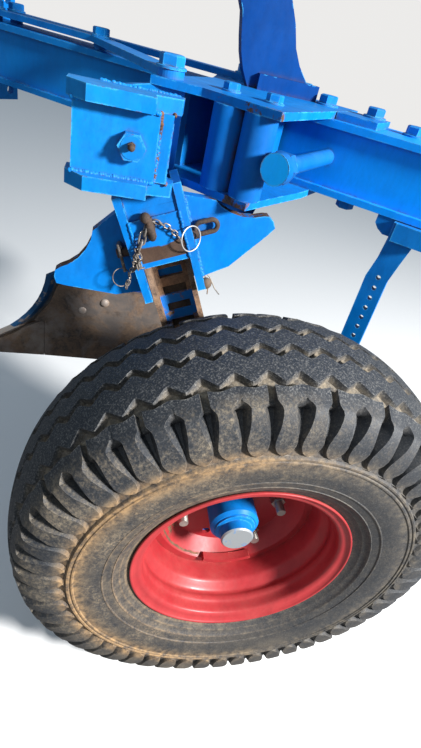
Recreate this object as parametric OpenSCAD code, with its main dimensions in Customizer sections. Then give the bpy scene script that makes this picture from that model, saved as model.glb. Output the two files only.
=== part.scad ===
/* [Frame beam] */
// Length of the beam section from its front flange to its rear end
beam_length = 1400; // [1250:10:1800]
// Width of the box over its side walls
beam_width = 120; // [100:5:140]
// Height of the box between its flange plates
beam_web_height = 100; // [90:5:120]
// Wall thickness of the box
beam_wall = 8; // [6:1:12]
// Thickness of the top and bottom flange plates
beam_flange_thick = 12; // [8:1:16]
// How far the flange plates stand out past the side walls
beam_flange_lip = 12; // [6:1:18]
// Width of the bolted front flange
front_flange_width = 220; // [200:5:260]
// Height of the bolted front flange
front_flange_height = 260; // [240:5:300]
// Thickness of the front flange
front_flange_thick = 20; // [14:1:28]
// Bolt spacing across the front flange
front_bolt_across = 170; // [150:5:180]
// Bolt spacing up the front flange
front_bolt_up = 210; // [190:5:220]
// Bore of the front flange bolt holes
front_bolt_bore = 22; // [17:1:26]

/* [Wheel place] */
// Distance of the wheel centre behind the front flange along the beam
wheel_along = 1150; // [1120:5:1200]
// Distance of the wheel centre out from the beam centre line
wheel_out = 360; // [350:5:380]
// Height of the swing pivot above the wheel axle
axle_drop = 650; // [630:5:680]
// Distance of the axle behind the swing pivot
axle_trail = 275; // [265:5:285]
// Angle between the rolling direction and the beam
rolling_yaw = 38.5; // [36:0.5:41]

/* [Tyre and rim] */
// Radius over the crown of the tread
tyre_radius = 434; // [425:1:445]
// Half width over the bulge of the sidewalls
tyre_half_width = 149; // [144:1:152]
// Radius at the outer edge of the shoulder
shoulder_radius = 404; // [398:1:410]
// Half width across the shoulders
shoulder_half_width = 128; // [124:1:132]
// Distance of the tyre middle inward from the wheel centre plane
tyre_shift = 6; // [0:0.5:6]
// Number of shoulder lugs round each side
lug_count = 54; // [44:2:54]
// Depth of the hollows between the shoulder lugs
lug_depth = 15; // [10:1:20]
// Sideways swing of the zigzag grooves
zigzag_swing = 9; // [5:0.5:11]
// Depth of the tread grooves
groove_depth = 12; // [8:1:14]
// Width of the tread grooves
groove_width = 16; // [10:1:17]
// Radius over the rim flanges
rim_flange_radius = 212; // [208:1:215]
// Radius of the bead seats
bead_seat_radius = 194; // [190:1:196]
// Radius of the drop centre of the rim
drop_centre_radius = 176; // [168:1:178]
// Half width over the rim flanges
rim_half_width = 124; // [121:1:126]
// Wall of the rim
rim_wall = 6; // [4:0.5:7]
// Thickness of the wheel disc
disc_thick = 8; // [6:1:10]
// Distance of the disc face inward from the wheel centre plane
disc_inset = 32; // [26:1:36]

/* [Hub and stub axle] */
// Radius of the hub barrel
hub_radius = 50; // [46:1:52]
// Radius of the hub flange behind the disc
hub_flange_radius = 124; // [120:1:126]
// Thickness of the hub flange
hub_flange_thick = 14; // [10:1:18]
// Radius of the wheel stud circle
stud_circle_radius = 102.5; // [96:0.5:106]
// Number of wheel studs
stud_count = 6; // [5:1:6]
// Radius of a wheel stud
stud_radius = 9; // [7:0.5:10]
// Radius of the hub cap
cap_radius = 33; // [28:1:38]
// How far the cap end stands out from the wheel centre plane
cap_end = 58; // [50:1:64]
// How far the hub barrel stands out from the wheel centre plane
barrel_end = 30; // [24:1:36]
// Radius of the axle spindle
spindle_radius = 22; // [18:1:24]
// Running clearance round the spindle
spindle_clearance = 0.4; // [0.3:0.1:0.8]

/* [Wheel leg] */
// Width of the channel leg
leg_width = 80; // [76:1:84]
// Depth of the channel leg
leg_depth = 50; // [46:1:56]
// Wall of the channel leg
leg_wall = 9; // [7:1:11]
// Distance of the leg front inward from the wheel centre plane
leg_inset = 165; // [160:1:170]
// Distance of the upper end of the leg below the pivot
leg_top = 104; // [100:1:110]
// Length of the leg past the axle
leg_tail = 46; // [40:1:60]
// Spacing of the height slots in the leg
slot_pitch = 36; // [34:1:44]
// Width of a height slot across the leg
slot_width = 44; // [36:1:48]
// Height of a height slot along the leg
slot_height = 18; // [17.5:0.5:20]
// Number of height slots
slot_count = 13; // [8:1:14]

/* [Swing arm] */
// Distance of the height pin below the strap upper edge
height_pin_drop = 14; // [14:1:20]
// Running clearance between the sleeve and the leg
sleeve_clearance = 1; // [0.5:0.1:1.5]
// Thickness of the sleeve side plates
sleeve_side_thick = 14; // [10:1:16]
// Distance of the sleeve lower end below the pivot
sleeve_bottom = 262; // [250:1:280]
// Distance of the strap upper edge below the pivot
strap_top = 116; // [112:1:120]
// Distance of the strap lower edge below the pivot
strap_bottom = 198; // [190:1:210]
// Thickness of the strap and the back plate
strap_thick = 11; // [8:1:12]
// Thickness of the stop horns
horn_thick = 20; // [14:1:24]
// Reach of the horn tips from the leg axis
horn_reach = 200; // [185:1:210]
// Distance of the horn root below the pivot along the leg axis
horn_root = 268; // [255:1:285]
// Radius of the height pin and the cross pin
pin_radius = 8; // [7:0.5:8]
// Radius of the pivot boss
boss_radius = 34; // [30:1:36]
// Radius of the pivot pin
pivot_pin_radius = 15; // [13:1:18]
// Play between the horns and the console stop
stop_play = 0.3; // [0.2:0.1:0.5]

/* [Pivot housing] */
// Thickness of the housing top and bottom plates
housing_plate_thick = 20; // [16:1:26]
// Distance of the front edge of those plates inward from the wheel centre plane
housing_front = 90; // [84:1:96]
// Distance of the back edge of those plates inward from the wheel centre plane
housing_back = 147; // [144:1:148]
// Distance of the front plate face inward from the wheel centre plane
housing_face = 110; // [104:1:114]
// Reach of the housing ahead of the pivot
housing_ahead = 80; // [74:1:81]
// Reach of the front plate behind the pivot
housing_behind = 35; // [30:1:38]
// Thickness of the side wall behind the pivot
housing_wall_thick = 18; // [14:1:20]
// Half height of the web that runs back to the bearing plate
housing_web_half = 30; // [26:1:31]
// Corner cut of the housing plates
housing_chamfer = 26; // [18:1:32]

/* [Console] */
// Thickness of the console plates
console_plate_thick = 12; // [10:1:16]
// Distance of the console rear edge ahead of the wheel centre
console_rear_lead = 139; // [134:1:145]
// Distance of the console front edge ahead of the wheel centre
console_front_lead = 450; // [438:1:460]
// Distance of the console near edge inside the wheel centre
console_inset = 60; // [56:1:66]
// Diameter of the two upright tubes
console_tube = 54; // [48:1:54]
// Distance between the upright tubes
console_tube_spacing = 55; // [55:1:62]
// Diameter of the cross bar
cross_bar = 47; // [40:1:52]

/* [Plough bodies] */
// Distance of the plough legs ahead of the wheel centre along the beam
body_lead = 270; // [260:1:280]
// Height from the beam centre to the share edge
body_height = 590; // [570:5:620]
// Width of a plough leg
plough_leg_width = 115; // [100:5:120]
// Thickness of a plough leg
plough_leg_thick = 30; // [24:1:34]
// Place of the share point ahead of the leg
share_tip = -675; // [-700:5:-665]
// Length of the share edge
share_length = 400; // [340:10:440]
// Angle between the share edge and the furrow
share_angle = 40; // [36:0.5:44]
// Thickness of the share
share_thick = 11; // [8:1:12]
// Thickness of the moldboard
moldboard_thick = 8; // [6:1:10]
// Radius of the moldboard in height
mold_radius = 260; // [240:5:290]
// Length of the moldboard along its lines
moldboard_length = 690; // [600:10:760]
// Thickness of the landside
landside_thick = 12; // [10:1:14]
// Height of the landside
landside_height = 100; // [90:5:110]

/* [Skimmer] */
// Distance of the skimmer stem behind the wheel centre along the beam
skimmer_lag = 46; // [35:1:65]
// Width of the skimmer stem
skimmer_width = 70; // [60:1:76]
// Length of the skimmer stem
skimmer_length = 420; // [380:5:460]

/* [Hidden] */
$fn = 64;
lean = atan(axle_trail / axle_drop);
leg_reach = sqrt(axle_drop * axle_drop + axle_trail * axle_trail);
beam_half = beam_web_height / 2 + beam_flange_thick;
beam_side = beam_width / 2;
stop_height = beam_half + console_plate_thick;
console_rear = wheel_along - console_rear_lead;
console_front = wheel_along - console_front_lead;
console_near = wheel_out - console_inset;
body_along = wheel_along - body_lead;
skimmer_along = wheel_along + skimmer_lag;

// Frames: travel frame at the wheel centre with x to the rear, y to the furrow side, and the arm frame
module travel() {
    translate([wheel_along, -wheel_out, -axle_drop]) rotate([0, 0, rolling_yaw]) children();
}
module at_pivot() {
    travel() translate([-axle_trail, 0, axle_drop]) children();
}
module arm() {
    at_pivot() rotate([0, -lean, 0]) children();
}
// A bar along y from y0 to y1, round the y axis
module y_bar(radius, y0, y1) {
    translate([0, y1, 0]) rotate([90, 0, 0]) cylinder(r = radius, h = y1 - y0);
}
// A plate in the x z plane from y0 to y1
module y_plate(y0, y1) {
    translate([0, y1, 0]) rotate([90, 0, 0]) linear_extrude(height = y1 - y0) children();
}
// A hexagon prism along z, from its width across the flats
module hex(flats, height) {
    cylinder(d = flats / cos(30), h = height, $fn = 6);
}
// A solid turned about the wheel axis, its outline given as radius and distance outward
module wheel_turn() {
    rotate([90, 0, 0]) rotate_extrude($fn = 128) children();
}
// A hexagon bolt head with its washer, standing on z = 0
module bolt_head(flats) {
    cylinder(d = flats * 1.35, h = 3, $fn = 32);
    translate([0, 0, 3]) hex(flats, flats * 0.62);
}

module beam() {
    color("dodgerblue") difference() {
        union() {
            translate([front_flange_thick, -beam_side, -beam_web_height / 2])
                cube([beam_length - front_flange_thick, beam_width, beam_web_height]);
            for (side = [-1, 1])
                translate([front_flange_thick, -beam_side - beam_flange_lip,
                        side * (beam_half - beam_flange_thick / 2) - beam_flange_thick / 2])
                    cube([beam_length - front_flange_thick, beam_width + 2 * beam_flange_lip,
                        beam_flange_thick]);
        }
        translate([front_flange_thick - 1, -beam_side + beam_wall, -beam_web_height / 2 + 0.01])
            cube([beam_length - front_flange_thick - beam_wall, beam_width - 2 * beam_wall,
                beam_web_height - 0.02]);
    }
}

module front_flange() {
    color("dodgerblue") difference() {
        translate([0, -front_flange_width / 2, -front_flange_height / 2])
            cube([front_flange_thick, front_flange_width, front_flange_height]);
        for (across = [-1, 1], up = [-1, 1])
            translate([-1, across * front_bolt_across / 2, up * front_bolt_up / 2])
                rotate([0, 90, 0]) cylinder(d = front_bolt_bore, h = front_flange_thick + 2);
    }
}

// Console outline seen from above: its near edge leaves room for the sleeve of the swing arm
bearing_front = 262;
bearing_thick = 18;
function travel_point(x, y) = [wheel_along + x * cos(rolling_yaw) - y * sin(rolling_yaw),
    -wheel_out + x * sin(rolling_yaw) + y * cos(rolling_yaw)];
bearing_ahead = 40;
bearing_behind = 78;
console_start = 22;
sleeve_room = 100;
corner_front = travel_point(-axle_trail + console_start, bearing_front);
corner_room = travel_point(-axle_trail + sleeve_room, leg_inset + leg_depth + 18);
console_far = beam_side + 34;
rear_cut = 22;
module console_outline(cut) {
    polygon([
        [console_rear - cut, -console_near],
        corner_room,
        corner_front,
        [console_front + 60, -beam_side - beam_flange_lip],
        [console_front, console_far - 40],
        [console_front + 40, console_far],
        [console_rear, console_far],
        [console_rear, -beam_side - 2 * cut]]);
}
module console_plates() {
    color("dodgerblue") for (side = [0, 1])
        mirror([0, 0, side]) translate([0, 0, beam_half])
            linear_extrude(height = console_plate_thick) console_outline(side * rear_cut);
}

tube_row_y = -console_near + console_tube / 2 + 2;
cross_bar_proud = 4;
tube_2_x = console_rear - 42;
cross_bar_x = tube_2_x + console_tube / 2 + cross_bar / 2 + 3;
module console_tubes() {
    color("royalblue") for (k = [0, 1])
        translate([tube_2_x - k * console_tube_spacing, tube_row_y, -beam_half])
            difference() {
                cylinder(d = console_tube, h = 2 * beam_half);
                translate([0, 0, 8]) cylinder(d = console_tube - 16, h = 2 * beam_half - 16);
            }
}

// Upright webs between the plates, and the stop bolt that stands by the rear tube
web_back = 78;
module console_webs() {
    color("royalblue") {
        translate([tube_2_x - console_tube_spacing, -console_near + web_back, -beam_half])
            cube([14, console_near - web_back - beam_side - beam_flange_lip, 2 * beam_half]);
        translate([corner_front[0] + 6, -console_near + web_back, -beam_half])
            cube([14, console_near - web_back - beam_side - beam_flange_lip, 2 * beam_half]);
        translate([cross_bar_x, -console_near - cross_bar_proud, 0]) rotate([-90, 0, 0]) {
            cylinder(d = cross_bar, h = 20);
            translate([0, 0, 19.9]) hex(cross_bar - 4, 17);
            cylinder(d = cross_bar - 19, h = console_near + cross_bar_proud - beam_side);
        }
    }
}

housing_half = 45;
web_clear = 44;
module pivot_housing() {
    color("deepskyblue") at_pivot() {
        for (side = [0, 1]) mirror([0, 0, side])
            translate([0, 0, housing_half]) linear_extrude(height = housing_plate_thick) polygon([
                [-housing_ahead - 8, housing_front + housing_chamfer],
                [-housing_ahead - 8 + housing_chamfer, housing_front],
                [housing_behind - 9, housing_front],
                [housing_behind - 9, housing_front + 26],
                [housing_behind + 28, housing_front + 33],
                [housing_behind + 32, housing_back],
                [-housing_ahead - 8, housing_back]]);
        difference() {
            union() {
                translate([-housing_ahead, housing_face, -housing_half])
                    cube([housing_ahead + housing_behind, 16, 2 * housing_half]);
                translate([-housing_ahead, housing_face + 16, -housing_half])
                    cube([14, housing_back - housing_face - 16, 2 * housing_half]);
                translate([housing_behind, housing_face + 5, -housing_half])
                    cube([housing_wall_thick, housing_back - housing_face - 5, 2 * housing_half]);
                translate([web_clear, housing_back - 1, -housing_web_half])
                    cube([13, bearing_front - housing_back + 1, 2 * housing_web_half]);
            }
            y_bar(pivot_pin_radius + 0.3, housing_face - 1, housing_back);
        }
        difference() {
            y_plate(bearing_front, bearing_front + bearing_thick) polygon([
                [-bearing_ahead, -48], [console_start, -beam_half], [bearing_behind, -beam_half],
                [bearing_behind, beam_half], [console_start, beam_half], [-bearing_ahead, 48]]);
            y_bar(pivot_pin_radius + 0.3, bearing_front - 1, bearing_front + bearing_thick + 1);
        }
    }
}

module pivot_pin() {
    color("lightskyblue") at_pivot() {
        y_bar(pivot_pin_radius, housing_face - 17, bearing_front + bearing_thick + 26);
        translate([0, housing_face - 0.3, 0]) rotate([90, 0, 0]) hex(34, 16);
        translate([0, bearing_front + bearing_thick + 22, 0]) rotate([90, 0, 0]) hex(46, 21.7);
    }
}

module swing_boss() {
    color("royalblue") at_pivot() difference() {
        y_bar(boss_radius, housing_back + 5, bearing_front - 4);
        y_bar(pivot_pin_radius + 0.3, housing_back + 4, bearing_front - 3);
    }
}

cross_pin_inset = 10;
cross_pin_drop = strap_bottom - 29;
height_pin_side = -9;
sleeve_half = leg_width / 2 + sleeve_clearance;
sleeve_outer = sleeve_half + sleeve_side_thick;
sleeve_front = leg_inset - sleeve_clearance;
sleeve_back = leg_inset + leg_depth + sleeve_clearance;
arm_plate_front = leg_inset + 6;
arm_neck = [[-sleeve_half, -78], [-24, -58], [-22, -26], [22, -26], [24, -58], [sleeve_half, -78]];

// The arm: a front plate that shows above the strap, and a back plate down the whole sleeve
module swing_arm() {
    color("deepskyblue") arm() {
        difference() {
            union() {
                y_plate(arm_plate_front, arm_plate_front + 14)
                    polygon(concat(arm_neck, [[sleeve_half, -leg_top + 4], [-sleeve_half, -leg_top + 4]]));
                y_plate(sleeve_back, sleeve_back + strap_thick)
                    polygon(concat(arm_neck, [[sleeve_half, -sleeve_bottom], [-sleeve_half, -sleeve_bottom]]));
            }
            y_bar(boss_radius + 0.2, arm_plate_front - 1, sleeve_back + strap_thick + 1);
            translate([height_pin_side, 0, -strap_top - height_pin_drop])
                y_bar(pin_radius + 0.5, sleeve_back - 1, sleeve_back + strap_thick + 1);
        }
    }
}

module leg_sleeve() {
    color("deepskyblue") arm() {
        for (side = [-1, 1]) difference() {
            translate([side * (sleeve_half + sleeve_side_thick / 2) - sleeve_side_thick / 2,
                    sleeve_front - strap_thick, -sleeve_bottom])
                cube([sleeve_side_thick, sleeve_back + strap_thick - sleeve_front + strap_thick,
                    sleeve_bottom - 74]);
            translate([0, leg_inset + cross_pin_inset, -cross_pin_drop]) rotate([0, 90, 0])
                cylinder(r = pin_radius + 0.5, h = 4 * leg_width, center = true);
        }
        difference() {
            y_plate(sleeve_front - strap_thick, sleeve_front)
                polygon([[-sleeve_half, -strap_top], [sleeve_half, -strap_top],
                    [sleeve_half, -strap_bottom], [-sleeve_half, -strap_bottom]]);
            translate([height_pin_side, 0, -strap_top - height_pin_drop])
                y_bar(pin_radius + 0.5, sleeve_front - strap_thick - 1, sleeve_front + 1);
        }
    }
}

// Line of the console stop on the horn: level and just under the plate while the arm rests
function horn_top(across) = (stop_height + stop_play + across * sin(lean)) / cos(lean);
// Horn edge from the stop to the tip: [share of the reach, depth of the worn hollow under the stop line]
horn_edge = [[0.525, 0], [0.56, 10], [0.63, 18], [0.72, 22], [0.82, 20], [0.9, 15], [0.945, 14], [0.975, 22], [0.98, 34]];
module horn_outline() {
    polygon(concat([[sleeve_outer, -horn_top(sleeve_outer)]],
        [for (row = horn_edge) [row[0] * horn_reach, -horn_top(row[0] * horn_reach) - row[1]]],
        [[horn_reach - 18, -horn_top(horn_reach) - 41], [horn_reach * 0.52, -horn_root + 22],
        [sleeve_outer, -horn_root + 16]]));
}
module stop_horns() {
    color("dodgerblue") arm()
        y_plate(leg_inset + 20, leg_inset + 20 + horn_thick) {
            horn_outline();
            mirror([1, 0]) horn_outline();
        }
}

module wheel_leg() {
    color("peru") arm() difference() {
        translate([-leg_width / 2, leg_inset, -leg_reach - leg_tail])
            cube([leg_width, leg_depth, leg_reach + leg_tail - leg_top]);
        translate([-leg_width / 2 + leg_wall, leg_inset - 1, -leg_reach - leg_tail - 1])
            cube([leg_width - 2 * leg_wall, leg_depth - leg_wall + 1, leg_reach + leg_tail]);
        for (k = [0 : slot_count - 1])
            translate([-slot_width / 2, leg_inset + leg_depth - leg_wall - 1,
                    -strap_top - height_pin_drop - k * slot_pitch - slot_height / 2])
                cube([slot_width, leg_wall + 2, slot_height]);
        translate([0, leg_inset + cross_pin_inset, -cross_pin_drop]) rotate([0, 90, 0])
            cylinder(r = pin_radius + 0.5, h = 2 * leg_width, center = true);
    }
}

// Stub axle: a plate on the leg front, a collar and the spindle inside the hub
axle_plate_thick = 12;
collar_radius = 38;
hub_inner_end = 112;
module stub_axle() {
    color("royalblue") arm() translate([0, 0, -leg_reach]) {
        translate([-leg_width / 2, leg_inset - axle_plate_thick, -leg_tail])
            cube([leg_width, axle_plate_thick, leg_tail + 62]);
        y_bar(collar_radius, hub_inner_end + 1, leg_inset - axle_plate_thick);
        y_bar(spindle_radius, -barrel_end + 14, hub_inner_end + 1);
    }
}

handle_radius = 6.5;
module height_pin() {
    color("sienna") arm() translate([height_pin_side, 0, -strap_top - height_pin_drop]) {
        y_bar(pin_radius, sleeve_front - strap_thick - handle_radius, sleeve_back + strap_thick + 14);
        translate([0, sleeve_front - strap_thick - handle_radius - 1.5, -15]) cylinder(r = handle_radius, h = 32);
    }
}

// The cross pin ends in a long bent eye outside the sleeve
eye_half = 9;
eye_bend = 10;
eye_rod = 4;
module cross_pin() {
    color("sienna") arm() translate([0, leg_inset + cross_pin_inset, -cross_pin_drop]) {
        translate([-sleeve_outer - 22, 0, 0]) rotate([0, 90, 0])
            cylinder(r = pin_radius, h = 2 * sleeve_outer + 34);
        translate([sleeve_outer + 25, 0, eye_bend - 2]) {
            for (up = [-1, 1]) translate([-eye_half, 0, up * eye_bend]) rotate([0, 90, 0])
                cylinder(r = eye_rod, h = 2 * eye_half);
            for (end = [0, 1]) mirror([end, 0, 0]) translate([eye_half, 0, 0]) rotate([90, 90, 0])
                rotate_extrude(angle = 180) translate([eye_bend, 0]) circle(r = eye_rod, $fn = 24);
        }
    }
}

stud_phase = 49;
lost_stud = 1;
module at_studs(lost = -1) {
    for (k = [0 : stud_count - 1]) if (k != lost) rotate([0, k * 360 / stud_count + stud_phase, 0])
        translate([stud_circle_radius, 0, 0]) children();
}
module wheel_hub() {
    color("dodgerblue") travel() difference() {
        wheel_turn() polygon([[spindle_radius + spindle_clearance, -hub_inner_end], [hub_radius - 4, -hub_inner_end],
            [hub_radius + 4, -disc_inset - disc_thick - hub_flange_thick - 14],
            [hub_flange_radius, -disc_inset - disc_thick - hub_flange_thick],
            [hub_flange_radius, -disc_inset - disc_thick], [hub_radius, -disc_inset - disc_thick],
            [hub_radius, barrel_end - 6], [hub_radius - 6, barrel_end],
            [spindle_radius + spindle_clearance, barrel_end]]);
        at_studs() y_bar(stud_radius + 0.3, disc_inset, hub_inner_end);
    }
}

module hub_cap() {
    color("lightskyblue") travel() wheel_turn() polygon([[0, barrel_end], [hub_radius - 9, barrel_end],
        [hub_radius - 9, barrel_end + 4], [cap_radius, barrel_end + 6], [cap_radius, cap_end - 3],
        [cap_radius - 3, cap_end], [0, cap_end]]);
}

// One stud is missing and its hole is open
module wheel_studs() {
    color("silver") travel() at_studs(lost_stud) {
        y_bar(stud_radius, disc_inset - 40, disc_inset + disc_thick + hub_flange_thick + 6);
        translate([0, disc_inset, 0]) rotate([90, 0, 0]) hex(27, 14);
    }
}

module wheel_disc() {
    color("crimson") travel() difference() {
        wheel_turn() polygon([[hub_radius + 0.5, -disc_inset - disc_thick],
            [hub_flange_radius + 6, -disc_inset - disc_thick],
            [drop_centre_radius - rim_wall - 14, 2 - disc_thick], [drop_centre_radius - rim_wall, 2 - disc_thick],
            [drop_centre_radius - rim_wall, 2], [drop_centre_radius - rim_wall - 16, 2],
            [hub_flange_radius, -disc_inset], [hub_radius + 0.5, -disc_inset]]);
        at_studs() y_bar(stud_radius + 0.3, disc_inset - 1, disc_inset + disc_thick + 1);
    }
}

// Rim outline on the outer half: [radius, distance outward] on the tyre side, then on the axle side
rim_seat_edge = rim_half_width - 14;
rim_tyre_side = [[rim_flange_radius, rim_half_width], [rim_flange_radius, rim_half_width - 5],
    [rim_flange_radius - 5, rim_half_width - 8.5], [bead_seat_radius, rim_seat_edge],
    [bead_seat_radius - 1, rim_seat_edge - 38], [drop_centre_radius, rim_seat_edge - 60]];
rim_axle_side = [[drop_centre_radius - rim_wall, rim_seat_edge - 63],
    [bead_seat_radius - 1 - rim_wall, rim_seat_edge - 41], [bead_seat_radius - rim_wall, rim_seat_edge + 5],
    [rim_flange_radius - 9, rim_seat_edge + 8], [rim_flange_radius - 5, rim_half_width]];
function flipped(points) = [for (k = [len(points) - 1 : -1 : 0]) [points[k][0], -points[k][1]]];
module wheel_rim() {
    color("crimson") travel() translate([0, tyre_shift, 0]) wheel_turn()
        polygon(concat(rim_tyre_side, flipped(rim_tyre_side), flipped(rim_axle_side), rim_axle_side));
}

// Tyre: rings of points from bead to bead and back inside, joined two lugs at a time.
// A plain ring is [1, radius, across] and a groove ring [4, across, sideways swing, depth].
// A lug ring is [6, hollow radius, hollow across, lug radius, lug across, lug share of the pitch].
bead_gap = 0.6;
tyre_wall = 15;
crown_thick = 27;
lug_pairs = lug_count / 2;
lug_phase = 91;
flat_gain = 1 / cos(180 / lug_pairs);
bead_ring = (bead_seat_radius + bead_gap) * flat_gain;
groove_places = [-91, -30, 30, 91];
function crown(across) = tyre_radius
    - (tyre_radius - shoulder_radius) * pow(abs(across) / shoulder_half_width, 2.4);
tyre_side = [[1, bead_ring, rim_seat_edge - 26],
    [1, bead_ring, rim_seat_edge - bead_gap - 1],
    [1, (rim_flange_radius + 2) * flat_gain, rim_half_width - 5],
    [1, rim_flange_radius + 36, tyre_half_width - 4],
    [1, shoulder_radius - 84, tyre_half_width],
    [6, shoulder_radius - 73, tyre_half_width - 4, shoulder_radius - 77, tyre_half_width, 0.45],
    [6, shoulder_radius - 46, tyre_half_width - 0.6 * lug_depth, shoulder_radius - 50, tyre_half_width + 1, 0.76],
    [6, shoulder_radius - 12, shoulder_half_width + 1 - lug_depth, shoulder_radius - 20, tyre_half_width - 6, 0.54],
    [6, shoulder_radius + 2, shoulder_half_width - 3, shoulder_radius - 3, shoulder_half_width + 5, 0.36]];
tyre_inside = [[1, shoulder_radius - 80, tyre_half_width - tyre_wall],
    [1, tyre_radius - crown_thick - 12, shoulder_half_width - 26]];
function groove_rings(place) = [for (k = [-1, 0, 1])
    [4, place + k * groove_width / 2, zigzag_swing * (k * place > 0 ? 0.4 : k == 0 ? 0.7 : 1),
        k == 0 ? groove_depth : 0]];
function far_side(ring) = [for (k = [0 : len(ring) - 1]) k == 2 || k == 4 ? -ring[k] : ring[k]];
function turned(rings) = [for (k = [len(rings) - 1 : -1 : 0]) rings[k]];
tyre_rings = concat([for (ring = tyre_side) far_side(ring)],
    [for (place = groove_places) each groove_rings(place)],
    turned(tyre_side), tyre_inside, [for (ring = turned(tyre_inside)) far_side(ring)]);

// One point of a ring: how many lugs round, radius, across
function ring_point(ring, index) =
    ring[0] == 1 ? [2 * index, ring[1], ring[2]]
    : ring[0] == 4 ? let (across = ring[1] + ring[2] * (index % 2 == 0 ? 1 : -1))
        [index / 2, crown(across) - ring[3], across]
    : let (lug = floor(index / 3), spot = index % 3, near = ring[2] < 0, hollow = near ? 0 : 1)
        spot == hollow ? [lug + (near ? 0 : 0.5), ring[1], ring[2]]
        : [lug + (near ? 0.5 : spot == 0 ? 0 : 1) + ring[5] / 2 * ((near ? spot == 1 : spot == 2) ? -1 : 1),
            ring[3], ring[4]];
ring_starts = [for (k = 0, start = 0; k < len(tyre_rings); start = start + tyre_rings[k][0] * lug_pairs, k = k + 1)
    start];
// The triangles between two rings, from how many points each has in two lugs
function ring_strip(a, b) = let (na = tyre_rings[a][0], nb = tyre_rings[b][0],
        total_a = na * lug_pairs, total_b = nb * lug_pairs, from_a = ring_starts[a], from_b = ring_starts[b])
    concat(
        [for (pair = [0 : lug_pairs - 1], i = [0 : na - 1])
            [from_a + pair * na + i, from_a + (pair * na + i + 1) % total_a,
                from_b + (pair * nb + ceil(((2 * i + 1) * nb / na - 1) / 2)) % total_b]],
        [for (pair = [0 : lug_pairs - 1], i = [0 : nb - 1])
            [from_b + (pair * nb + i + 1) % total_b, from_b + pair * nb + i,
                from_a + (pair * na + floor(((2 * i + 1) * na / nb - 1) / 2) + 1) % total_a]]);
module tyre() {
    color("dimgray") travel() translate([0, tyre_shift, 0]) polyhedron(
        points = [for (ring = tyre_rings, index = [0 : ring[0] * lug_pairs - 1])
            let (spot = ring_point(ring, index), turn = lug_phase + spot[0] * 360 / lug_count)
            [spot[1] * cos(turn), spot[2], spot[1] * sin(turn)]],
        faces = [for (k = [0 : len(tyre_rings) - 1]) each ring_strip(k, (k + 1) % len(tyre_rings))]);
}

// Link bars on the console and beam: [front x, front y, rear x, rear y, width]
link_thick = 12;
link_bend_lead = 571;
link_end_lead = 211;
far_link_lead = 240;
link_bend = [console_rear - link_bend_lead, -28];
link_end = [console_rear - link_end_lead, -console_near + 24];
link_rows = [[110, link_bend[1], link_bend[0], link_bend[1], 44],
    [link_bend[0], link_bend[1], link_end[0], link_end[1], 44],
    [110, 34, console_rear - far_link_lead, 40, 40]];
strip_length = 77;
strip_half = 50;
module link_bars() {
    color("dodgerblue") {
        for (row = link_rows) hull() {
            translate([row[0], row[1], stop_height]) cylinder(d = row[4], h = link_thick, $fn = 32);
            translate([row[2], row[3], stop_height]) cylinder(d = row[4], h = link_thick, $fn = 32);
        }
        translate([console_rear + 2, -strip_half, beam_half])
            cube([strip_length, 2 * strip_half, console_plate_thick]);
    }
}
// Bolts on the links and the beam: [x, y, height of the seat]
link_bolt_rows = [[110, -28, stop_height + link_thick], [110, 34, stop_height + link_thick],
    [link_bend[0], link_bend[1], stop_height + link_thick],
    [link_end[0], link_end[1], stop_height + link_thick],
    [console_rear - far_link_lead, 40, stop_height + link_thick],
    [console_rear - 43, 20, stop_height], [console_rear + 51, 30, stop_height],
    [console_rear + 133, 30, beam_half]];
module link_bolts() {
    color("deepskyblue") {
        for (row = link_bolt_rows) translate(row) bolt_head(32);
        translate([console_rear + 69, -40, -beam_half]) mirror([0, 0, 1]) bolt_head(30);
    }
}
// Bolts on both console plates: [distance ahead of the rear edge, distance from the near edge]
console_bolt_rows = [[126, 75], [50, 79]];
module console_bolts() {
    color("deepskyblue") for (side = [0, 1], row = console_bolt_rows) mirror([0, 0, side])
        translate([console_rear - row[0], -console_near + row[1], stop_height]) bolt_head(24);
}

// Plough bodies: origin on the beam centre line, x to the rear, y to the furrow, z towards the share
module body_place(side) {
    translate([body_along, 0, 0]) rotate([0, 0, rolling_yaw]) mirror([0, 0, side]) children();
}
cheek_thick = 15;
cheek_height = 26;
cheek_half = 60;
module leg_cheeks() {
    color("dodgerblue") for (side = [0, 1]) body_place(side)
        for (y = [-plough_leg_thick / 2 - cheek_thick, plough_leg_thick / 2])
            translate([-cheek_half, y, stop_height]) cube([2 * cheek_half, cheek_thick, cheek_height]);
}
// Leg outline from the beam to the foot: [height, rear edge, width]
foot_height = body_height - 50;
leg_rows = [[stop_height, 62, 1.2], [100, 38, 1.12], [125, 15, 1], [150, 0, 0.92], [185, -12, 0.87], [240, -40, 0.86],
    [300, -82, 0.88], [370, -150, 1], [430, -204, 1.05], [foot_height - 40, -222, 1], [foot_height, -222, 0.95]];
module plough_leg(side) {
    body_place(side) y_plate(-plough_leg_thick / 2, plough_leg_thick / 2) polygon(concat(
        [for (row = leg_rows) [row[1] - row[2] * plough_leg_width, row[0]]],
        [for (k = [len(leg_rows) - 1 : -1 : 0]) [leg_rows[k][1], leg_rows[k][0]]]));
}
module upper_leg() { color("mediumblue") plough_leg(0); }
module lower_leg() { color("mediumblue") plough_leg(1); }

// Working surface: level straight lines from the shin outward, resting on an arc that starts at the share
share_slope = 25;
share_top_slope = 52;
share_edge_lift = 11;
land_plane = -plough_leg_thick / 2 - landside_thick;
function line_angle(slope) = share_angle + 8 * (slope - share_slope) / 80;
function arc_back(slope) = mold_radius * (sin(slope) - sin(share_slope));
function arc_up(slope) = mold_radius * (cos(share_slope) - cos(slope));
function shin_x(slope, back) = share_tip + (share_length / 2) * cos(share_angle) + back * sin(share_angle)
    - ((share_length / 2) * sin(share_angle) - back * cos(share_angle)) / tan(line_angle(slope));
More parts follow.
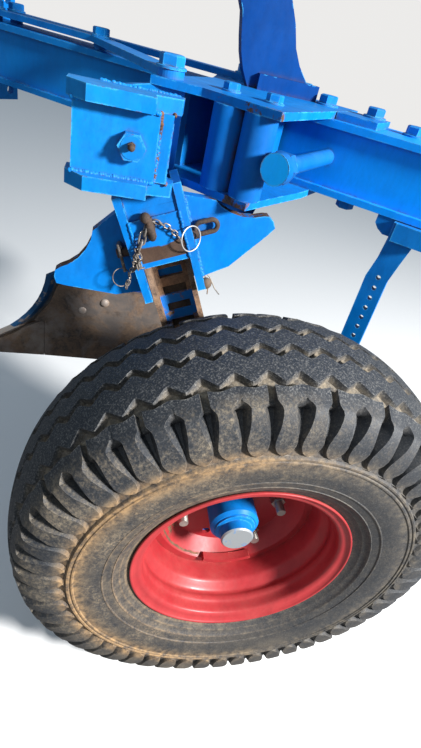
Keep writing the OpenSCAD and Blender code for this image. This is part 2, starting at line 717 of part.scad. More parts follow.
// A point on the surface: how far along its line, its slope, and how far behind the working face
function face_point(along, slope, behind) =
    let (back = arc_back(slope) + behind * sin(slope), shin = shin_x(slope, back))
    [shin + along * cos(line_angle(slope)), land_plane + along * sin(line_angle(slope)),
        body_height - share_edge_lift - arc_up(slope) + behind * cos(slope)];

module sheet_grid(rows, cols, points) {
    total = rows * cols;
    faces_front = [for (r = [0 : rows - 2], c = [0 : cols - 2])
        each [[r * cols + c, r * cols + c + 1, (r + 1) * cols + c + 1],
            [r * cols + c, (r + 1) * cols + c + 1, (r + 1) * cols + c]]];
    faces_back = [for (f = faces_front) [f[2] + total, f[1] + total, f[0] + total]];
    rim_loop = concat([for (c = [0 : cols - 1]) c], [for (r = [1 : rows - 1]) r * cols + cols - 1],
        [for (c = [cols - 2 : -1 : 0]) (rows - 1) * cols + c], [for (r = [rows - 2 : -1 : 1]) r * cols]);
    count = len(rim_loop);
    faces_rim = [for (k = [0 : count - 1]) let (a = rim_loop[k], b = rim_loop[(k + 1) % count])
        each [[a, a + total, b + total], [a, b + total, b]]];
    polyhedron(points = points, faces = concat(faces_front, faces_back, faces_rim));
}
mold_sections = 10;
mold_rings = 8;
function line_length(t) = share_length + (moldboard_length - share_length) * sin(90 * min(1, t * 1.25))
    - 90 * max(0, t - 0.8) * 5;
function mold_slope(s, t) = share_top_slope + 0.07 + (34 + 18 * s) * t;
module moldboard(side) {
    body_place(side) sheet_grid(mold_sections, mold_rings, [for (behind = [0, moldboard_thick],
        k = [0 : mold_sections - 1], r = [0 : mold_rings - 1])
        let (s = k / (mold_sections - 1), t = r / (mold_rings - 1))
        face_point(s * line_length(t), mold_slope(s, t), behind)]);
}
module upper_moldboard() { color("slategray") moldboard(0); }
module lower_moldboard() { color("slategray") moldboard(1); }

share_rings = 3;
module share(side) {
    body_place(side) sheet_grid(2, share_rings, [for (behind = [0, share_thick],
        s = [0, 1], r = [0 : share_rings - 1])
        let (t = r / (share_rings - 1))
        face_point(s * (share_length - 40 * t), share_slope + (share_top_slope - share_slope) * t, behind)]);
}
module upper_share() { color("saddlebrown") share(0); }
module lower_share() { color("saddlebrown") share(1); }

// Frog: level ribs whose outer edges lie along the lines of the surface, on an upright plate by the leg
rib_thick = 12;
frog_plate = 10;
frog_plate_room = 66;
frog_plate_wide = 72;
rib_slopes = [42, 58, 74];
rib_start = 80;
rib_end = 330;
function rib_behind(slope) = (slope < share_top_slope ? share_thick : moldboard_thick) + 0.3;
module frog(side) {
    leg_face = plough_leg_thick / 2;
    body_place(side) {
        for (slope = rib_slopes) {
            low = face_point(0, slope, rib_behind(slope));
            top_slope = acos(cos(slope) - rib_thick / mold_radius);
            near = face_point(rib_start, top_slope, rib_behind(slope));
            far = face_point(rib_end, top_slope, rib_behind(slope));
            translate([0, 0, low[2] - rib_thick]) linear_extrude(height = rib_thick) polygon([
                [near[0], leg_face], [near[0], near[1]], [far[0], far[1]], [far[0] + 30, far[1] - 40],
                [near[0] + 170, leg_face]]);
        }
        plate_low = face_point(0, rib_slopes[0], 0)[2];
        plate_high = face_point(0, rib_slopes[2], 0)[2] - rib_thick;
        translate([shin_seam + frog_plate_room, leg_face, plate_high])
            cube([frog_plate_wide, frog_plate, plate_low - plate_high]);
    }
}
module upper_frog() { color("dodgerblue") frog(0); }
module lower_frog() { color("dodgerblue") frog(1); }

// Landside bar with the shin piece in front of it, and the face plate over the foot of the leg.
// Their front edges follow the back of the working surface.
shin_seam = share_tip + 232;
shin_room = 20;
face_top = 96;
landside_foot = body_height - 8;
function shin_edge(slope) = let (spot = face_point(shin_room, slope, share_thick + 0.3)) [spot[0], spot[2]];
function slope_at(up) = acos(cos(share_slope) - up / mold_radius);
module landside(side) {
    body_place(side) y_plate(land_plane, land_plane + landside_thick - 0.3) {
        polygon([[shin_seam, landside_foot], [shin_seam + 392, landside_foot],
            [shin_seam + 392, landside_foot - landside_height], [shin_seam, landside_foot - landside_height]]);
        polygon(concat([[shin_seam - 1, landside_foot]],
            [for (up = [2, 30, 60, landside_height - 20]) shin_edge(slope_at(up))],
            [[shin_seam - 1, landside_foot - landside_height]]));
        polygon(concat([[shin_seam + 300, landside_foot - landside_height - 1]],
            [for (up = [landside_height, landside_height + face_top / 2, landside_height + face_top])
                shin_edge(slope_at(up))],
            [[shin_seam + 300, landside_foot - landside_height - face_top]]));
    }
}
module upper_landside() { color("saddlebrown") landside(0); }
module lower_landside() { color("saddlebrown") landside(1); }

stem_face = -beam_side - beam_flange_lip - 12;
stem_thick = 14;
clamp_height = 32;
module skimmer_clamp() {
    color("dodgerblue") {
        translate([skimmer_along, 0, -beam_half]) y_plate(stem_face + stem_thick + 0.5, stem_face + stem_thick + 46)
            polygon([[-44, 0], [60, 0], [60, -clamp_height], [-24, -clamp_height], [-36, -clamp_height + 7], [-44, -16]]);
        translate([skimmer_along + 30, 0, -beam_half]) y_plate(stem_face - 12, stem_face - 0.5)
            polygon([[-34, 0], [30, 0], [30, -clamp_height], [-34, -clamp_height]]);
    }
}
// Stem outline: [height under the beam, middle, width], then its row of holes
stem_rows = [[2, 14, 48], [30, 14, 48], [70, 8, 42], [110, 0, 42], [skimmer_length, 0, 42]];
hole_pitch = 21.7;
hole_first = 106;
module skimmer_stem() {
    color("royalblue") translate([skimmer_along, 0, -beam_half]) difference() {
        y_plate(stem_face, stem_face + stem_thick) polygon(concat(
            [for (row = stem_rows) [row[1] - row[2] / 2, -row[0]]],
            [for (k = [len(stem_rows) - 1 : -1 : 0]) [stem_rows[k][1] + stem_rows[k][2] / 2, -stem_rows[k][0]]]));
        for (k = [0 : 8]) translate([3, 0, -hole_first - k * hole_pitch])
            y_bar(4.5, stem_face - 1, stem_face + stem_thick + 1);
    }
}
module skimmer_board() {
    color("slategray") translate([skimmer_along, stem_face, -beam_half]) y_plate(-8, -0.5)
        polygon([[-115, -skimmer_length - 20], [14, -skimmer_length + 10], [14, -skimmer_length + 110],
            [-50, -skimmer_length + 120], [-95, -skimmer_length + 60]]);
}

beam();
front_flange();
console_plates();
console_tubes();
console_webs();
pivot_housing();
pivot_pin();
link_bars();
link_bolts();
console_bolts();
leg_cheeks();
upper_leg();
lower_leg();
upper_frog();
lower_frog();
upper_moldboard();
lower_moldboard();
upper_share();
lower_share();
upper_landside();
lower_landside();
skimmer_clamp();
skimmer_stem();
skimmer_board();
swing_boss();
swing_arm();
stop_horns();
leg_sleeve();
wheel_leg();
stub_axle();
height_pin();
cross_pin();
wheel_hub();
hub_cap();
wheel_studs();
wheel_disc();
wheel_rim();
tyre();
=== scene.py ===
import bpy
import bmesh
import math
import random
from mathutils import Matrix, Vector


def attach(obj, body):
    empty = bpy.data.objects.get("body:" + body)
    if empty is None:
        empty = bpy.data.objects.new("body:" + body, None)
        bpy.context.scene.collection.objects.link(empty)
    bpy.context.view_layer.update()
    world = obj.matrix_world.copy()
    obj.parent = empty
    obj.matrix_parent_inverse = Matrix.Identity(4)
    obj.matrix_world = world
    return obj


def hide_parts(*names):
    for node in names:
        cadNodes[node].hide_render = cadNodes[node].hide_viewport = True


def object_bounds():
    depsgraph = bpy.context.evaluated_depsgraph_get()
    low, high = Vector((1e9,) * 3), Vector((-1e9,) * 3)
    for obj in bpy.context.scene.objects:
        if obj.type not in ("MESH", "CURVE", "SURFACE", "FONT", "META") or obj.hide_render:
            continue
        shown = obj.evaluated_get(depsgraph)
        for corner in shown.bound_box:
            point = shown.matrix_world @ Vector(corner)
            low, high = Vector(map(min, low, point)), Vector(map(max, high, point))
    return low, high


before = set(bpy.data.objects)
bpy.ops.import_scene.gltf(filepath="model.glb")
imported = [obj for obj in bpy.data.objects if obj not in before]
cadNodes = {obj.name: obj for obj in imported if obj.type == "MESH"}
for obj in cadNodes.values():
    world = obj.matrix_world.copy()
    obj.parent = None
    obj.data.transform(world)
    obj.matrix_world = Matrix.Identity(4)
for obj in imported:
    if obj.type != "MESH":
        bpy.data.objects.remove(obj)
cadLow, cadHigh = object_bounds()
random.seed(7)
scene = bpy.context.scene

# Travel frame: origin at the wheel centre, x to the rear, y to the furrow side, z up
wheelPlace = {"along": 1.15, "out": 0.36, "drop": 0.65, "yaw": 38.5, "trail": 0.275}
travel = Matrix.Translation((wheelPlace["along"], -wheelPlace["out"], -wheelPlace["drop"])) @ Matrix.Rotation(
    math.radians(wheelPlace["yaw"]), 4, "Z")
lean = math.atan2(wheelPlace["trail"], wheelPlace["drop"])
armFrame = travel @ Matrix.Translation((-wheelPlace["trail"], 0, wheelPlace["drop"])) @ Matrix.Rotation(-lean, 4, "Y")

# ---- camera ----
cameraLook = {"place": (1.29972, -1.01752, 0.14731), "turn": (54.335, -11.397, 30.74), "lens": 23.1276}
cameraData = bpy.data.cameras.new("photoCamera")
cameraData.lens = cameraLook["lens"]
cameraData.clip_start = 0.02
photoCamera = bpy.data.objects.new("photoCamera", cameraData)
photoCamera.location = cameraLook["place"]
photoCamera.rotation_euler = [math.radians(a) for a in cameraLook["turn"]]
scene.collection.objects.link(photoCamera)
scene.camera = photoCamera
print("stage: camera")


# ---- helpers for shading: they add to the node tree that is in hand ----
inHand = {"tree": None}


def feed(value, target):
    inHand["tree"].links.new(value, target)


def addNode(kind, settings=None, **props):
    node = inHand["tree"].nodes.new(kind)
    for name, value in props.items():
        setattr(node, name, value)
    for name, value in (settings or {}).items():
        if isinstance(value, bpy.types.NodeSocket):
            feed(value, node.inputs[name])
        else:
            node.inputs[name].default_value = value
    return node


def mixColour(factor, first, second):
    return addNode("ShaderNodeMix", {0: factor, 6: first, 7: second}, data_type="RGBA").outputs[2]


def calc(how, first, second=0.0, clamp=False):
    return addNode("ShaderNodeMath", {0: first, 1: second}, operation=how, use_clamp=clamp).outputs[0]


def times(product, *others, clamp=False):
    for value in others:
        product = calc("MULTIPLY", product, value, clamp)
    return product


def plus(first, second):
    return calc("ADD", first, second)


def minus(first, second):
    return calc("SUBTRACT", first, second)


def spread(first, second):
    return calc("SQRT", plus(times(first, first), times(second, second)))


def dot(first, second):
    return addNode("ShaderNodeVectorMath", {0: first, 1: second}, operation="DOT_PRODUCT").outputs["Value"]


def axes(coords):
    return addNode("ShaderNodeSeparateXYZ", {0: coords}).outputs


def fit(value, fromLow, fromHigh, toLow=0.0, toHigh=1.0, smooth=False):
    node = addNode("ShaderNodeMapRange", {0: value, 1: fromLow, 2: fromHigh, 3: toLow, 4: toHigh})
    if smooth:
        node.interpolation_type = "SMOOTHSTEP"
    return node.outputs[0]


# Rises from 0 to 1 once the value has passed a place by the width of the fade
def past(value, place, fade):
    return fit(value, place, place + fade)


def noise(coords, scale, detail=4.0, rough=0.55, bend=0.0):
    return addNode("ShaderNodeTexNoise", {"Vector": coords, "Scale": scale, "Detail": detail, "Roughness": rough,
                                          "Distortion": bend}).outputs[0]


# A value made uneven by noise
def wavy(coords, value, size, scale, detail=4.0, rough=0.55):
    return plus(value, times(noise(coords, scale, detail, rough), size))


def newGroup(name, inputs, outputs):
    group = bpy.data.node_groups.new(name, "ShaderNodeTree")
    inHand["tree"] = group
    group.interface.new_socket("Coords", in_out="INPUT", socket_type="NodeSocketVector")
    for label, kind, value in inputs:
        group.interface.new_socket(label, in_out="INPUT", socket_type="NodeSocket" + kind).default_value = value
    for label, kind in outputs:
        group.interface.new_socket(label, in_out="OUTPUT", socket_type="NodeSocket" + kind)
    return group, addNode("NodeGroupInput").outputs, addNode("NodeGroupOutput").inputs


def useGroup(group, coords, **settings):
    return addNode("ShaderNodeGroup", {"Coords": coords, **settings}, node_tree=group).outputs


# Edge wear and sheen: bare where the rounded normal leaves the true one, broken up by noise; on the paint it also gives
# the pale edges, which are partly worn paint and partly a painted highlight
edgeWearAndSheen, given, out = newGroup(
    "edgeWearAndSheen", [("Width", "Float", 0.003), ("Amount", "Float", 0.5), ("Scale", "Float", 60.0)],
    [("Mask", "Float"), ("Height", "Float")])
rounded = addNode("ShaderNodeBevel", {"Radius": given["Width"]}, samples=6)
true = addNode("ShaderNodeNewGeometry")
edge = fit(dot(rounded.outputs[0], true.outputs["Normal"]), 0.995, 0.8)
broken = noise(given["Coords"], given["Scale"], 6.0, 0.65)
limit = minus(1.0, given["Amount"])
worn = minus(times(edge, fit(broken, 0.3, 0.7)), limit)
mask = fit(worn, -0.02, 0.06)
feed(mask, out["Mask"])
feed(times(mask, -1.0), out["Height"])

# Chips and scratches away from the edges
paintChips, given, out = newGroup(
    "paintChips", [("Scale", "Float", 14.0), ("Amount", "Float", 0.3)], [("Mask", "Float")])
coarse = noise(given["Coords"], given["Scale"], 8.0, 0.72, 0.6)
level = fit(given["Amount"], 0.0, 1.0, 0.8, 0.5)
chips = fit(minus(coarse, level), 0.0, 0.02)
stretch = addNode("ShaderNodeMapping", {"Vector": given["Coords"], "Rotation": (0.5, 0.9, 0.3), "Scale": (1, 22, 22)})
lines = noise(stretch.outputs[0], times(given["Scale"], 0.6), 3.0, 0.6)
scratches = fit(minus(lines, plus(level, 0.02)), 0.0, 0.02)
feed(calc("MAXIMUM", chips, scratches), out["Mask"])

# Dust: lies on what faces up, in soft patches
dustLayer, given, out = newGroup(
    "dustLayer", [("Scale", "Float", 9.0), ("Amount", "Float", 0.3), ("Up", "Float", 0.6)],
    [("Mask", "Float")])
true = addNode("ShaderNodeNewGeometry")
upward = plus(times(fit(axes(true.outputs["Normal"])[2], -0.2, 0.9), given["Up"]), minus(1.0, given["Up"]))
soft = fit(noise(given["Coords"], given["Scale"], 7.0, 0.62), 0.36, 0.66)
fine = fit(noise(given["Coords"], times(given["Scale"], 18.0), 3.0, 0.7), 0.35, 0.65, 0.55, 1.0)
feed(times(soft, fine, upward, given["Amount"], clamp=True), out["Mask"])

# Rust: colour between dark scale and orange, with its own grain
rustLook, given, out = newGroup(
    "rustLook", [("Dark", "Color", (0.06, 0.03, 0.02, 1)),
                 ("Light", "Color", (0.36, 0.15, 0.05, 1)), ("Scale", "Float", 45.0)],
    [("Color", "Color"), ("Grain", "Float")])
patches = noise(given["Coords"], given["Scale"], 7.0, 0.7, 0.4)
grain = noise(given["Coords"], times(given["Scale"], 9.0), 4.0, 0.7)
blendAt = fit(plus(patches, times(minus(grain, 0.5), 0.5)), 0.34, 0.68)
feed(mixColour(blendAt, given["Dark"], given["Light"]), out["Color"])
feed(grain, out["Grain"])

# Seam dirt and painted shade: darkening where two faces meet, found by ambient occlusion; partly rust and grime at the
# joints, partly painted shade in corners and recesses
seamDirtAndShade, given, out = newGroup(
    "seamDirtAndShade", [("Reach", "Float", 0.012), ("Amount", "Float", 0.5)], [("Mask", "Float")])
space = addNode("ShaderNodeAmbientOcclusion", {"Distance": given["Reach"]}, samples=5)
closed = fit(space.outputs["AO"], 0.75, 0.3)
rough = fit(noise(given["Coords"], 42.0, 6.0, 0.7), 0.38, 0.6)
feed(times(closed, rough, given["Amount"], clamp=True), out["Mask"])
print("stage: shader groups")


def startMaterial(name):
    material = bpy.data.materials.new(name)
    material.use_nodes = True
    material.node_tree.nodes.clear()
    inHand["tree"] = material.node_tree
    shader = addNode("ShaderNodeBsdfPrincipled")
    feed(shader.outputs[0], addNode("ShaderNodeOutputMaterial").inputs[0])
    return material, shader, addNode("ShaderNodeTexCoord").outputs["Object"]


def bump(shader, height, strength, distance):
    node = addNode("ShaderNodeBump", {"Strength": strength, "Distance": distance, "Height": height})
    feed(node.outputs[0], shader.inputs["Normal"])


def paintMaterial(name, look, extra=None, paintedSunlight=None):
    material, shader, coords = startMaterial(name)
    wide = fit(noise(coords, 3.5, 3.0), 0.35, 0.65)
    close = noise(coords, 38.0, 6.0, 0.65)
    colour = mixColour(wide, look["paint"], look["faded"])
    colour = mixColour(fit(close, 0.45, 0.75, 0.0, 0.35), colour, look["faded"])
    # Painted sunlight: where a mask for it is given, a brighter colour stands in for sun falling on the surface
    if paintedSunlight:
        colour = mixColour(paintedSunlight(coords), colour, look["paintedSunlight"])
    wear = useGroup(edgeWearAndSheen, coords, Width=look["edge"], Amount=look["wear"], Scale=70.0)
    # Pale band along the paint's edges: partly worn paint, partly a painted highlight
    light = useGroup(edgeWearAndSheen, coords, Width=look["edge"] * 1.6, Amount=look["pale"], Scale=40.0)
    chips = useGroup(paintChips, coords, Scale=16.0, Amount=look["chips"])
    dust = useGroup(dustLayer, coords, Scale=8.0, Amount=look["dust"], Up=0.75)
    rust = useGroup(rustLook, coords, Dark=(0.045, 0.026, 0.019, 1), Light=look["rust"], Scale=55.0)
    colour = mixColour(light["Mask"], colour, look["edgePale"])
    stain = addNode("ShaderNodeMapping", {"Vector": coords, "Scale": (1.0, 1.0, 0.45)})
    streak = fit(noise(stain.outputs[0], 34.0, 8.0, 0.75), 0.42, 0.66, 0.0, look["grime"])
    colour = mixColour(streak, colour, look["shadow"])
    bare = calc("MAXIMUM", wear["Mask"], chips["Mask"])
    # Dark brown in the seams and corners: rust and grime, and painted shade
    seamGrimeAndShade = useGroup(seamDirtAndShade, coords, Amount=look["seamGrimeAndShade"])
    colour = mixColour(seamGrimeAndShade["Mask"], colour, (0.075, 0.04, 0.024, 1))
    if extra:
        bare = calc("MAXIMUM", bare, extra(coords))
    colour = mixColour(bare, colour, rust["Color"])
    colour = mixColour(dust["Mask"], colour, look["dustTint"])
    feed(colour, shader.inputs["Base Color"])
    gloss = fit(close, 0.3, 0.7, look["rough"] - 0.06, look["rough"] + 0.1)
    gloss = calc("MAXIMUM", gloss, times(calc("MAXIMUM", bare, dust["Mask"]), 0.82))
    feed(gloss, shader.inputs["Roughness"])
    shader.inputs["Specular IOR Level"].default_value = look["shine"]
    brush = addNode("ShaderNodeMapping", {"Vector": coords, "Scale": (1.0, 1.0, 0.35)})
    skin = plus(times(noise(brush.outputs[0], 90.0, 4.0), 0.5), times(bare, -1.0))
    bump(shader, skin, 0.35, 0.0006)
    return material


def metalMaterial(name, look, paint=None):
    material, shader, coords = startMaterial(name)
    rust = useGroup(rustLook, coords, Dark=look["dark"], Light=look["light"], Scale=look["scale"])
    patch = fit(noise(coords, look["patch"], 6.0, 0.68, 0.5), look["cover"], look["cover"] + 0.16)
    wear = useGroup(edgeWearAndSheen, coords, Width=0.003, Amount=look["polish"], Scale=50.0)
    clean = calc("MAXIMUM", calc("SUBTRACT", 1.0, patch, True), wear["Mask"])
    colour = mixColour(clean, rust["Color"], look["bare"])
    dust = useGroup(dustLayer, coords, Scale=10.0, Amount=look["dust"], Up=0.6)
    colour = mixColour(dust["Mask"], colour, (0.42, 0.33, 0.22, 1))
    if paint:
        kept = times(paint(coords), fit(noise(coords, 34.0, 6.0, 0.7), 0.58, 0.52))
        colour = mixColour(kept, colour, look["left"])
        clean = times(clean, minus(1.0, kept))
    feed(colour, shader.inputs["Base Color"])
    feed(fit(clean, 0.0, 1.0, 0.05, look["metal"]), shader.inputs["Metallic"])
    feed(fit(clean, 0.0, 1.0, 0.82, look["rough"]), shader.inputs["Roughness"])
    bump(shader, times(rust["Grain"], fit(clean, 0.0, 1.0, 1.0, 0.2)), 0.5, 0.0009)
    return material


blueLook = dict(paint=(0.0002, 0.145, 0.5, 1), faded=(0.0006, 0.2, 0.6, 1), shadow=(0.0002, 0.07, 0.24, 1),
                paintedSunlight=(0.0008, 0.3, 0.95, 1), edgePale=(0.06, 0.4, 0.72, 1), dustTint=(0.16, 0.26, 0.34, 1),
                rust=(0.19, 0.09, 0.045, 1), edge=0.0035, wear=0.3, pale=0.5, chips=0.1, dust=0.1,
                grime=0.38, seamGrimeAndShade=0.8, rough=0.4, shine=0.13)
darkBlueLook = dict(blueLook, paint=(0.0001, 0.03, 0.155, 1), faded=(0.0002, 0.044, 0.205, 1), pale=0.36, wear=0.22,
                    dust=0.06, shadow=(0.0001, 0.02, 0.1, 1), shine=0.08)
# A darker copy of the blue paint for the console's tubes and webs: painted shade for the inside of the console
shadedInnerLook = dict(blueLook, paint=(0.0002, 0.095, 0.36, 1), faded=(0.0004, 0.135, 0.44, 1), pale=0.4, dust=0.16, shine=0.08)
skyLook = dict(blueLook, paint=(0.0002, 0.15, 0.5, 1), faded=(0.0008, 0.215, 0.6, 1), pale=0.58, wear=0.4, dust=0.14,
               chips=0.21, grime=0.48, shadow=(0.0002, 0.08, 0.27, 1), dustTint=(0.2, 0.27, 0.31, 1))
weldLook = dict(skyLook, pale=0.0, wear=0.12, chips=0.16, seamGrimeAndShade=0.9)
redLook = dict(paint=(0.32, 0.016, 0.022, 1), faded=(0.41, 0.034, 0.038, 1), shadow=(0.2, 0.01, 0.014, 1),
               edgePale=(0.72, 0.16, 0.13, 1), dustTint=(0.4, 0.2, 0.15, 1), rust=(0.19, 0.09, 0.045, 1),
               edge=0.003, wear=0.16, pale=0.35, chips=0.07, dust=0.16, grime=0.42, seamGrimeAndShade=0.6,
               rough=0.38, shine=0.32)
bluePaint = paintMaterial("bluePaint", blueLook)
darkBluePaint = paintMaterial("darkBluePaint", darkBlueLook)
shadedInnerPaint = paintMaterial("shadedInnerPaint", shadedInnerLook)
skyBluePaint = paintMaterial("skyBluePaint", skyLook)
redPaint = paintMaterial("redPaint", redLook)
weldBlue = paintMaterial("weldBlue", weldLook)
rustyWeld = paintMaterial("rustyWeld", dict(weldLook, chips=0.92, seamGrimeAndShade=1.0))
weldRed = paintMaterial("weldRed", dict(redLook, pale=0.0, wear=0.1, chips=0.12))


def alongAxis(coords, origin, axis):
    return minus(dot(coords, tuple(axis)), origin.dot(axis))


pivotCentre = armFrame.translation.copy()
wheelCentre = travel.translation.copy()
rearward, outward, skyward = (travel.to_3x3() @ Vector(way) for way in ((1, 0, 0), (0, 1, 0), (0, 0, 1)))
armAcross, armAway, armDown = (armFrame.to_3x3() @ Vector(way) for way in ((1, 0, 0), (0, 1, 0), (0, 0, -1)))
shinPlace = min((travel.inverted() @ vert.co).y for vert in cadNodes["lower_moldboard"].data.vertices)

# Places of the marks: band, horn and leg from the pivot, dish and splash from the wheel centre, the rest in the part frame
mark = {"bandTop": 0.1725, "bandBottom": 0.1895, "bandHalf": 0.0415, "bandFace": 0.166, "hornSide": 0.085, "legTop": 0.29,
        "legBottom": 0.352, "legHalf": 0.0365, "legWeb": 0.198, "dishLine": 0.156, "dishFront": -0.034, "splashBack": 0.124,
        "splashDown": 0.062, "splashReach": 0.049, "consoleNear": -0.272, "consoleFrom": 0.86, "sunlitFrom": 0.98,
        "sunlitTo": 1.12, "shinWide": 0.016}


def fromPivot(coords):
    across, away, down = (alongAxis(coords, pivotCentre, axis) for axis in (armAcross, armAway, armDown))
    return calc("ABSOLUTE", across), away, down


# The strap is worn to bare rusty steel in a wavy band above its lower edge
def strapBand(coords):
    across, away, down = fromPivot(coords)
    top = past(wavy(coords, down, 0.022, 24.0, 4.0, 0.6), mark["bandTop"], 0.0025)
    return times(top, past(down, mark["bandBottom"], -0.001), past(across, mark["bandHalf"], -0.001),
                 past(away, mark["bandFace"], -0.001))


# The horn edges are worn bright and rusty where they meet the console plate
def hornEdge(coords):
    normal = addNode("ShaderNodeNewGeometry").outputs["True Normal"]
    return times(past(dot(normal, tuple(-armDown)), 0.45, 0.15), past(fromPivot(coords)[0], mark["hornSide"], 0.015),
                 fit(noise(coords, 60.0, 5.0, 0.7), 0.36, 0.46))


# The near edge of the console plates has lost its paint in places
def consoleEdge(coords):
    out = axes(coords)
    near = past(wavy(coords, out[1], 0.03, 30.0, 5.0, 0.7), mark["consoleNear"], -0.005)
    return times(near, fit(noise(coords, 17.0, 6.0, 0.7), 0.51, 0.55), past(out[0], mark["consoleFrom"], 0.07))


# Painted sunlight: the open stretch of the beam behind the console gets a brighter paint colour that stands in for the
# sun falling on it
def paintedSunlitEnd(coords):
    return fit(wavy(coords, axes(coords)[0], 0.06, 6.0, 3.0), mark["sunlitFrom"], mark["sunlitTo"], 0.0, 0.9, True)


# Dark blue paint that is left along the front edge of the lower moldboard
def shinEdge(coords):
    return past(alongAxis(coords, wheelCentre, outward), shinPlace + mark["shinWide"], -0.007)


# Blue paint that is left on the web of the leg below the sleeve
def leftBlue(coords):
    across, away, down = fromPivot(coords)
    low = wavy(coords, down, 0.02, 30.0, 4.0)
    return times(past(low, mark["legTop"], 0.004), past(low, mark["legBottom"], -0.008),
                 past(across, mark["legHalf"], -0.001), past(away, mark["legWeb"], 0.005))


# Rust at the foot of the dish: a thin line round the seam and a splash at its front end
def dishRust(coords):
    back, up = alongAxis(coords, wheelCentre, rearward), alongAxis(coords, wheelCentre, skyward)
    reach = wavy(coords, spread(back, up), 0.014, 26.0, 5.0, 0.65)
    line = fit(calc("ABSOLUTE", minus(reach, mark["dishLine"])), 0.0024, 0.001)
    line = times(line, past(back, mark["dishFront"], -0.016), fit(up, 0.0, -0.04))
    away = wavy(coords, spread(plus(back, mark["splashBack"]), plus(up, mark["splashDown"])), 0.05, 26.0, 5.0, 0.65)
    splash = times(past(away, mark["splashReach"], -0.012), fit(noise(coords, 110.0, 5.0, 0.7), 0.44, 0.54))
    return calc("MAXIMUM", line, splash)


dishPaint = paintMaterial("dishPaint", redLook, dishRust)
strapPaint = paintMaterial("strapPaint", dict(skyLook, rust=(0.08, 0.047, 0.031, 1)), strapBand)
hornPaint = paintMaterial("hornPaint", blueLook, hornEdge)
consolePaint = paintMaterial("consolePaint", blueLook, consoleEdge)
# The beam: its open end is brightened by painted sunlight
beamPaint = paintMaterial("beamPaint", dict(blueLook, grime=0.2), None, paintedSunlitEnd)
# Stop bolt face: a much lighter blue, partly lighter paint and partly painted sunlight
stopPaintAndSunlight = paintMaterial("stopPaintAndSunlight", dict(skyLook, paint=(0.002, 0.4, 0.98, 1), faded=(0.004, 0.46, 0.98, 1),
                                            grime=0.2, chips=0.3, wear=0.62, edge=0.005))
rustyLook = dict(left=(0.0005, 0.15, 0.5, 1), dark=(0.045, 0.025, 0.019, 1), light=(0.26, 0.125, 0.06, 1),
                 bare=(0.3, 0.25, 0.2, 1), scale=40.0, patch=12.0, cover=0.3, polish=0.12, dust=0.2,
                 metal=0.5, rough=0.5)
scouredLook = dict(left=(0.002, 0.06, 0.16, 1), dark=(0.13, 0.1, 0.08, 1), light=(0.33, 0.24, 0.17, 1),
                   bare=(0.26, 0.26, 0.265, 1), scale=24.0, patch=4.0, cover=0.5, polish=0.35, dust=0.16,
                   metal=0.9, rough=0.3)
linkLook = dict(dark=(0.05, 0.034, 0.026, 1), light=(0.17, 0.115, 0.075, 1), bare=(0.24, 0.215, 0.19, 1),
                scale=90.0, patch=40.0, cover=0.46, polish=0.3, dust=0.1, metal=0.6, rough=0.45)
pinSteel = metalMaterial("pinSteel", dict(rustyLook, dark=(0.018, 0.013, 0.011, 1), light=(0.08, 0.046, 0.03, 1),
                                          bare=(0.1, 0.085, 0.075, 1), polish=0.1, dust=0.05))
legSteel = metalMaterial("legSteel", dict(rustyLook, light=(0.3, 0.17, 0.095, 1), bare=(0.42, 0.26, 0.15, 1),
                                          polish=0.62, dust=0.34), leftBlue)
plateSteel = metalMaterial("plateSteel", dict(rustyLook, dark=(0.04, 0.03, 0.026, 1), light=(0.17, 0.105, 0.065, 1),
                                              bare=(0.16, 0.14, 0.13, 1), scale=22.0, cover=0.36, dust=0.22, rough=0.45))
wornSteel = metalMaterial("wornSteel", dict(scouredLook, dark=(0.1, 0.065, 0.045, 1), light=(0.3, 0.17, 0.1, 1),
                                            bare=(0.4, 0.38, 0.36, 1), scale=30.0, patch=7.0, cover=0.42, polish=0.45,
                                            dust=0.35, metal=0.75, rough=0.42))
scouredSteel = metalMaterial("scouredSteel", scouredLook)
shinSteel = metalMaterial("shinSteel", scouredLook, shinEdge)
scuffedCap = metalMaterial("scuffedCap", dict(linkLook, dark=(0.01, 0.09, 0.3, 1), light=(0.03, 0.22, 0.55, 1),
                                              bare=(0.27, 0.29, 0.3, 1), scale=40.0, patch=60.0, cover=0.56, polish=0.5,
                                              dust=0.12, metal=0.25))
zincSteel = metalMaterial("zincSteel", dict(linkLook, dark=(0.12, 0.1, 0.075, 1), light=(0.3, 0.235, 0.16, 1),
                                            bare=(0.36, 0.34, 0.31, 1), scale=60.0, patch=20.0, cover=0.54, dust=0.2,
                                            metal=0.8, rough=0.38))
chainSteel = metalMaterial("chainSteel", linkLook)
ringSteel = metalMaterial("ringSteel", dict(linkLook, cover=0.6, bare=(0.52, 0.5, 0.46, 1), metal=0.7))
rubber, shader, coords = startMaterial("tyreRubber")
zone = addNode("ShaderNodeAttribute", attribute_name="zone")
depth, side, tan = addNode("ShaderNodeSeparateColor", {0: zone.outputs["Color"]}).outputs
height = axes(coords)[2]
speckle = fit(noise(coords, 320.0, 3.0, 0.75), 0.5, 0.72)
cloud = noise(coords, 9.0, 6.0, 0.62)
close = noise(coords, 70.0, 5.0, 0.7)
greyed = times(speckle, fit(side, 0.0, 1.0, 0.7, 0.24))
colour = mixColour(greyed, (0.014, 0.017, 0.022, 1), (0.26, 0.25, 0.23, 1))
hollow = times(depth, side)
behind = alongAxis(coords, wheelCentre, rearward)
dustyEnd = fit(plus(behind, times(cloud, 0.25)), 0.34, -0.06, 0.0, 1.0, True)
scuff = useGroup(edgeWearAndSheen, coords, Width=0.0022, Amount=0.52, Scale=90.0)
colour = mixColour(times(scuff["Mask"], 0.45), colour, (0.3, 0.28, 0.25, 1))
floorDust = times(minus(depth, hollow), fit(close, 0.3, 0.65, 0.12, 0.55))
patchy = plus(times(cloud, 0.8), times(noise(coords, 150.0, 6.0, 0.8), 0.7))
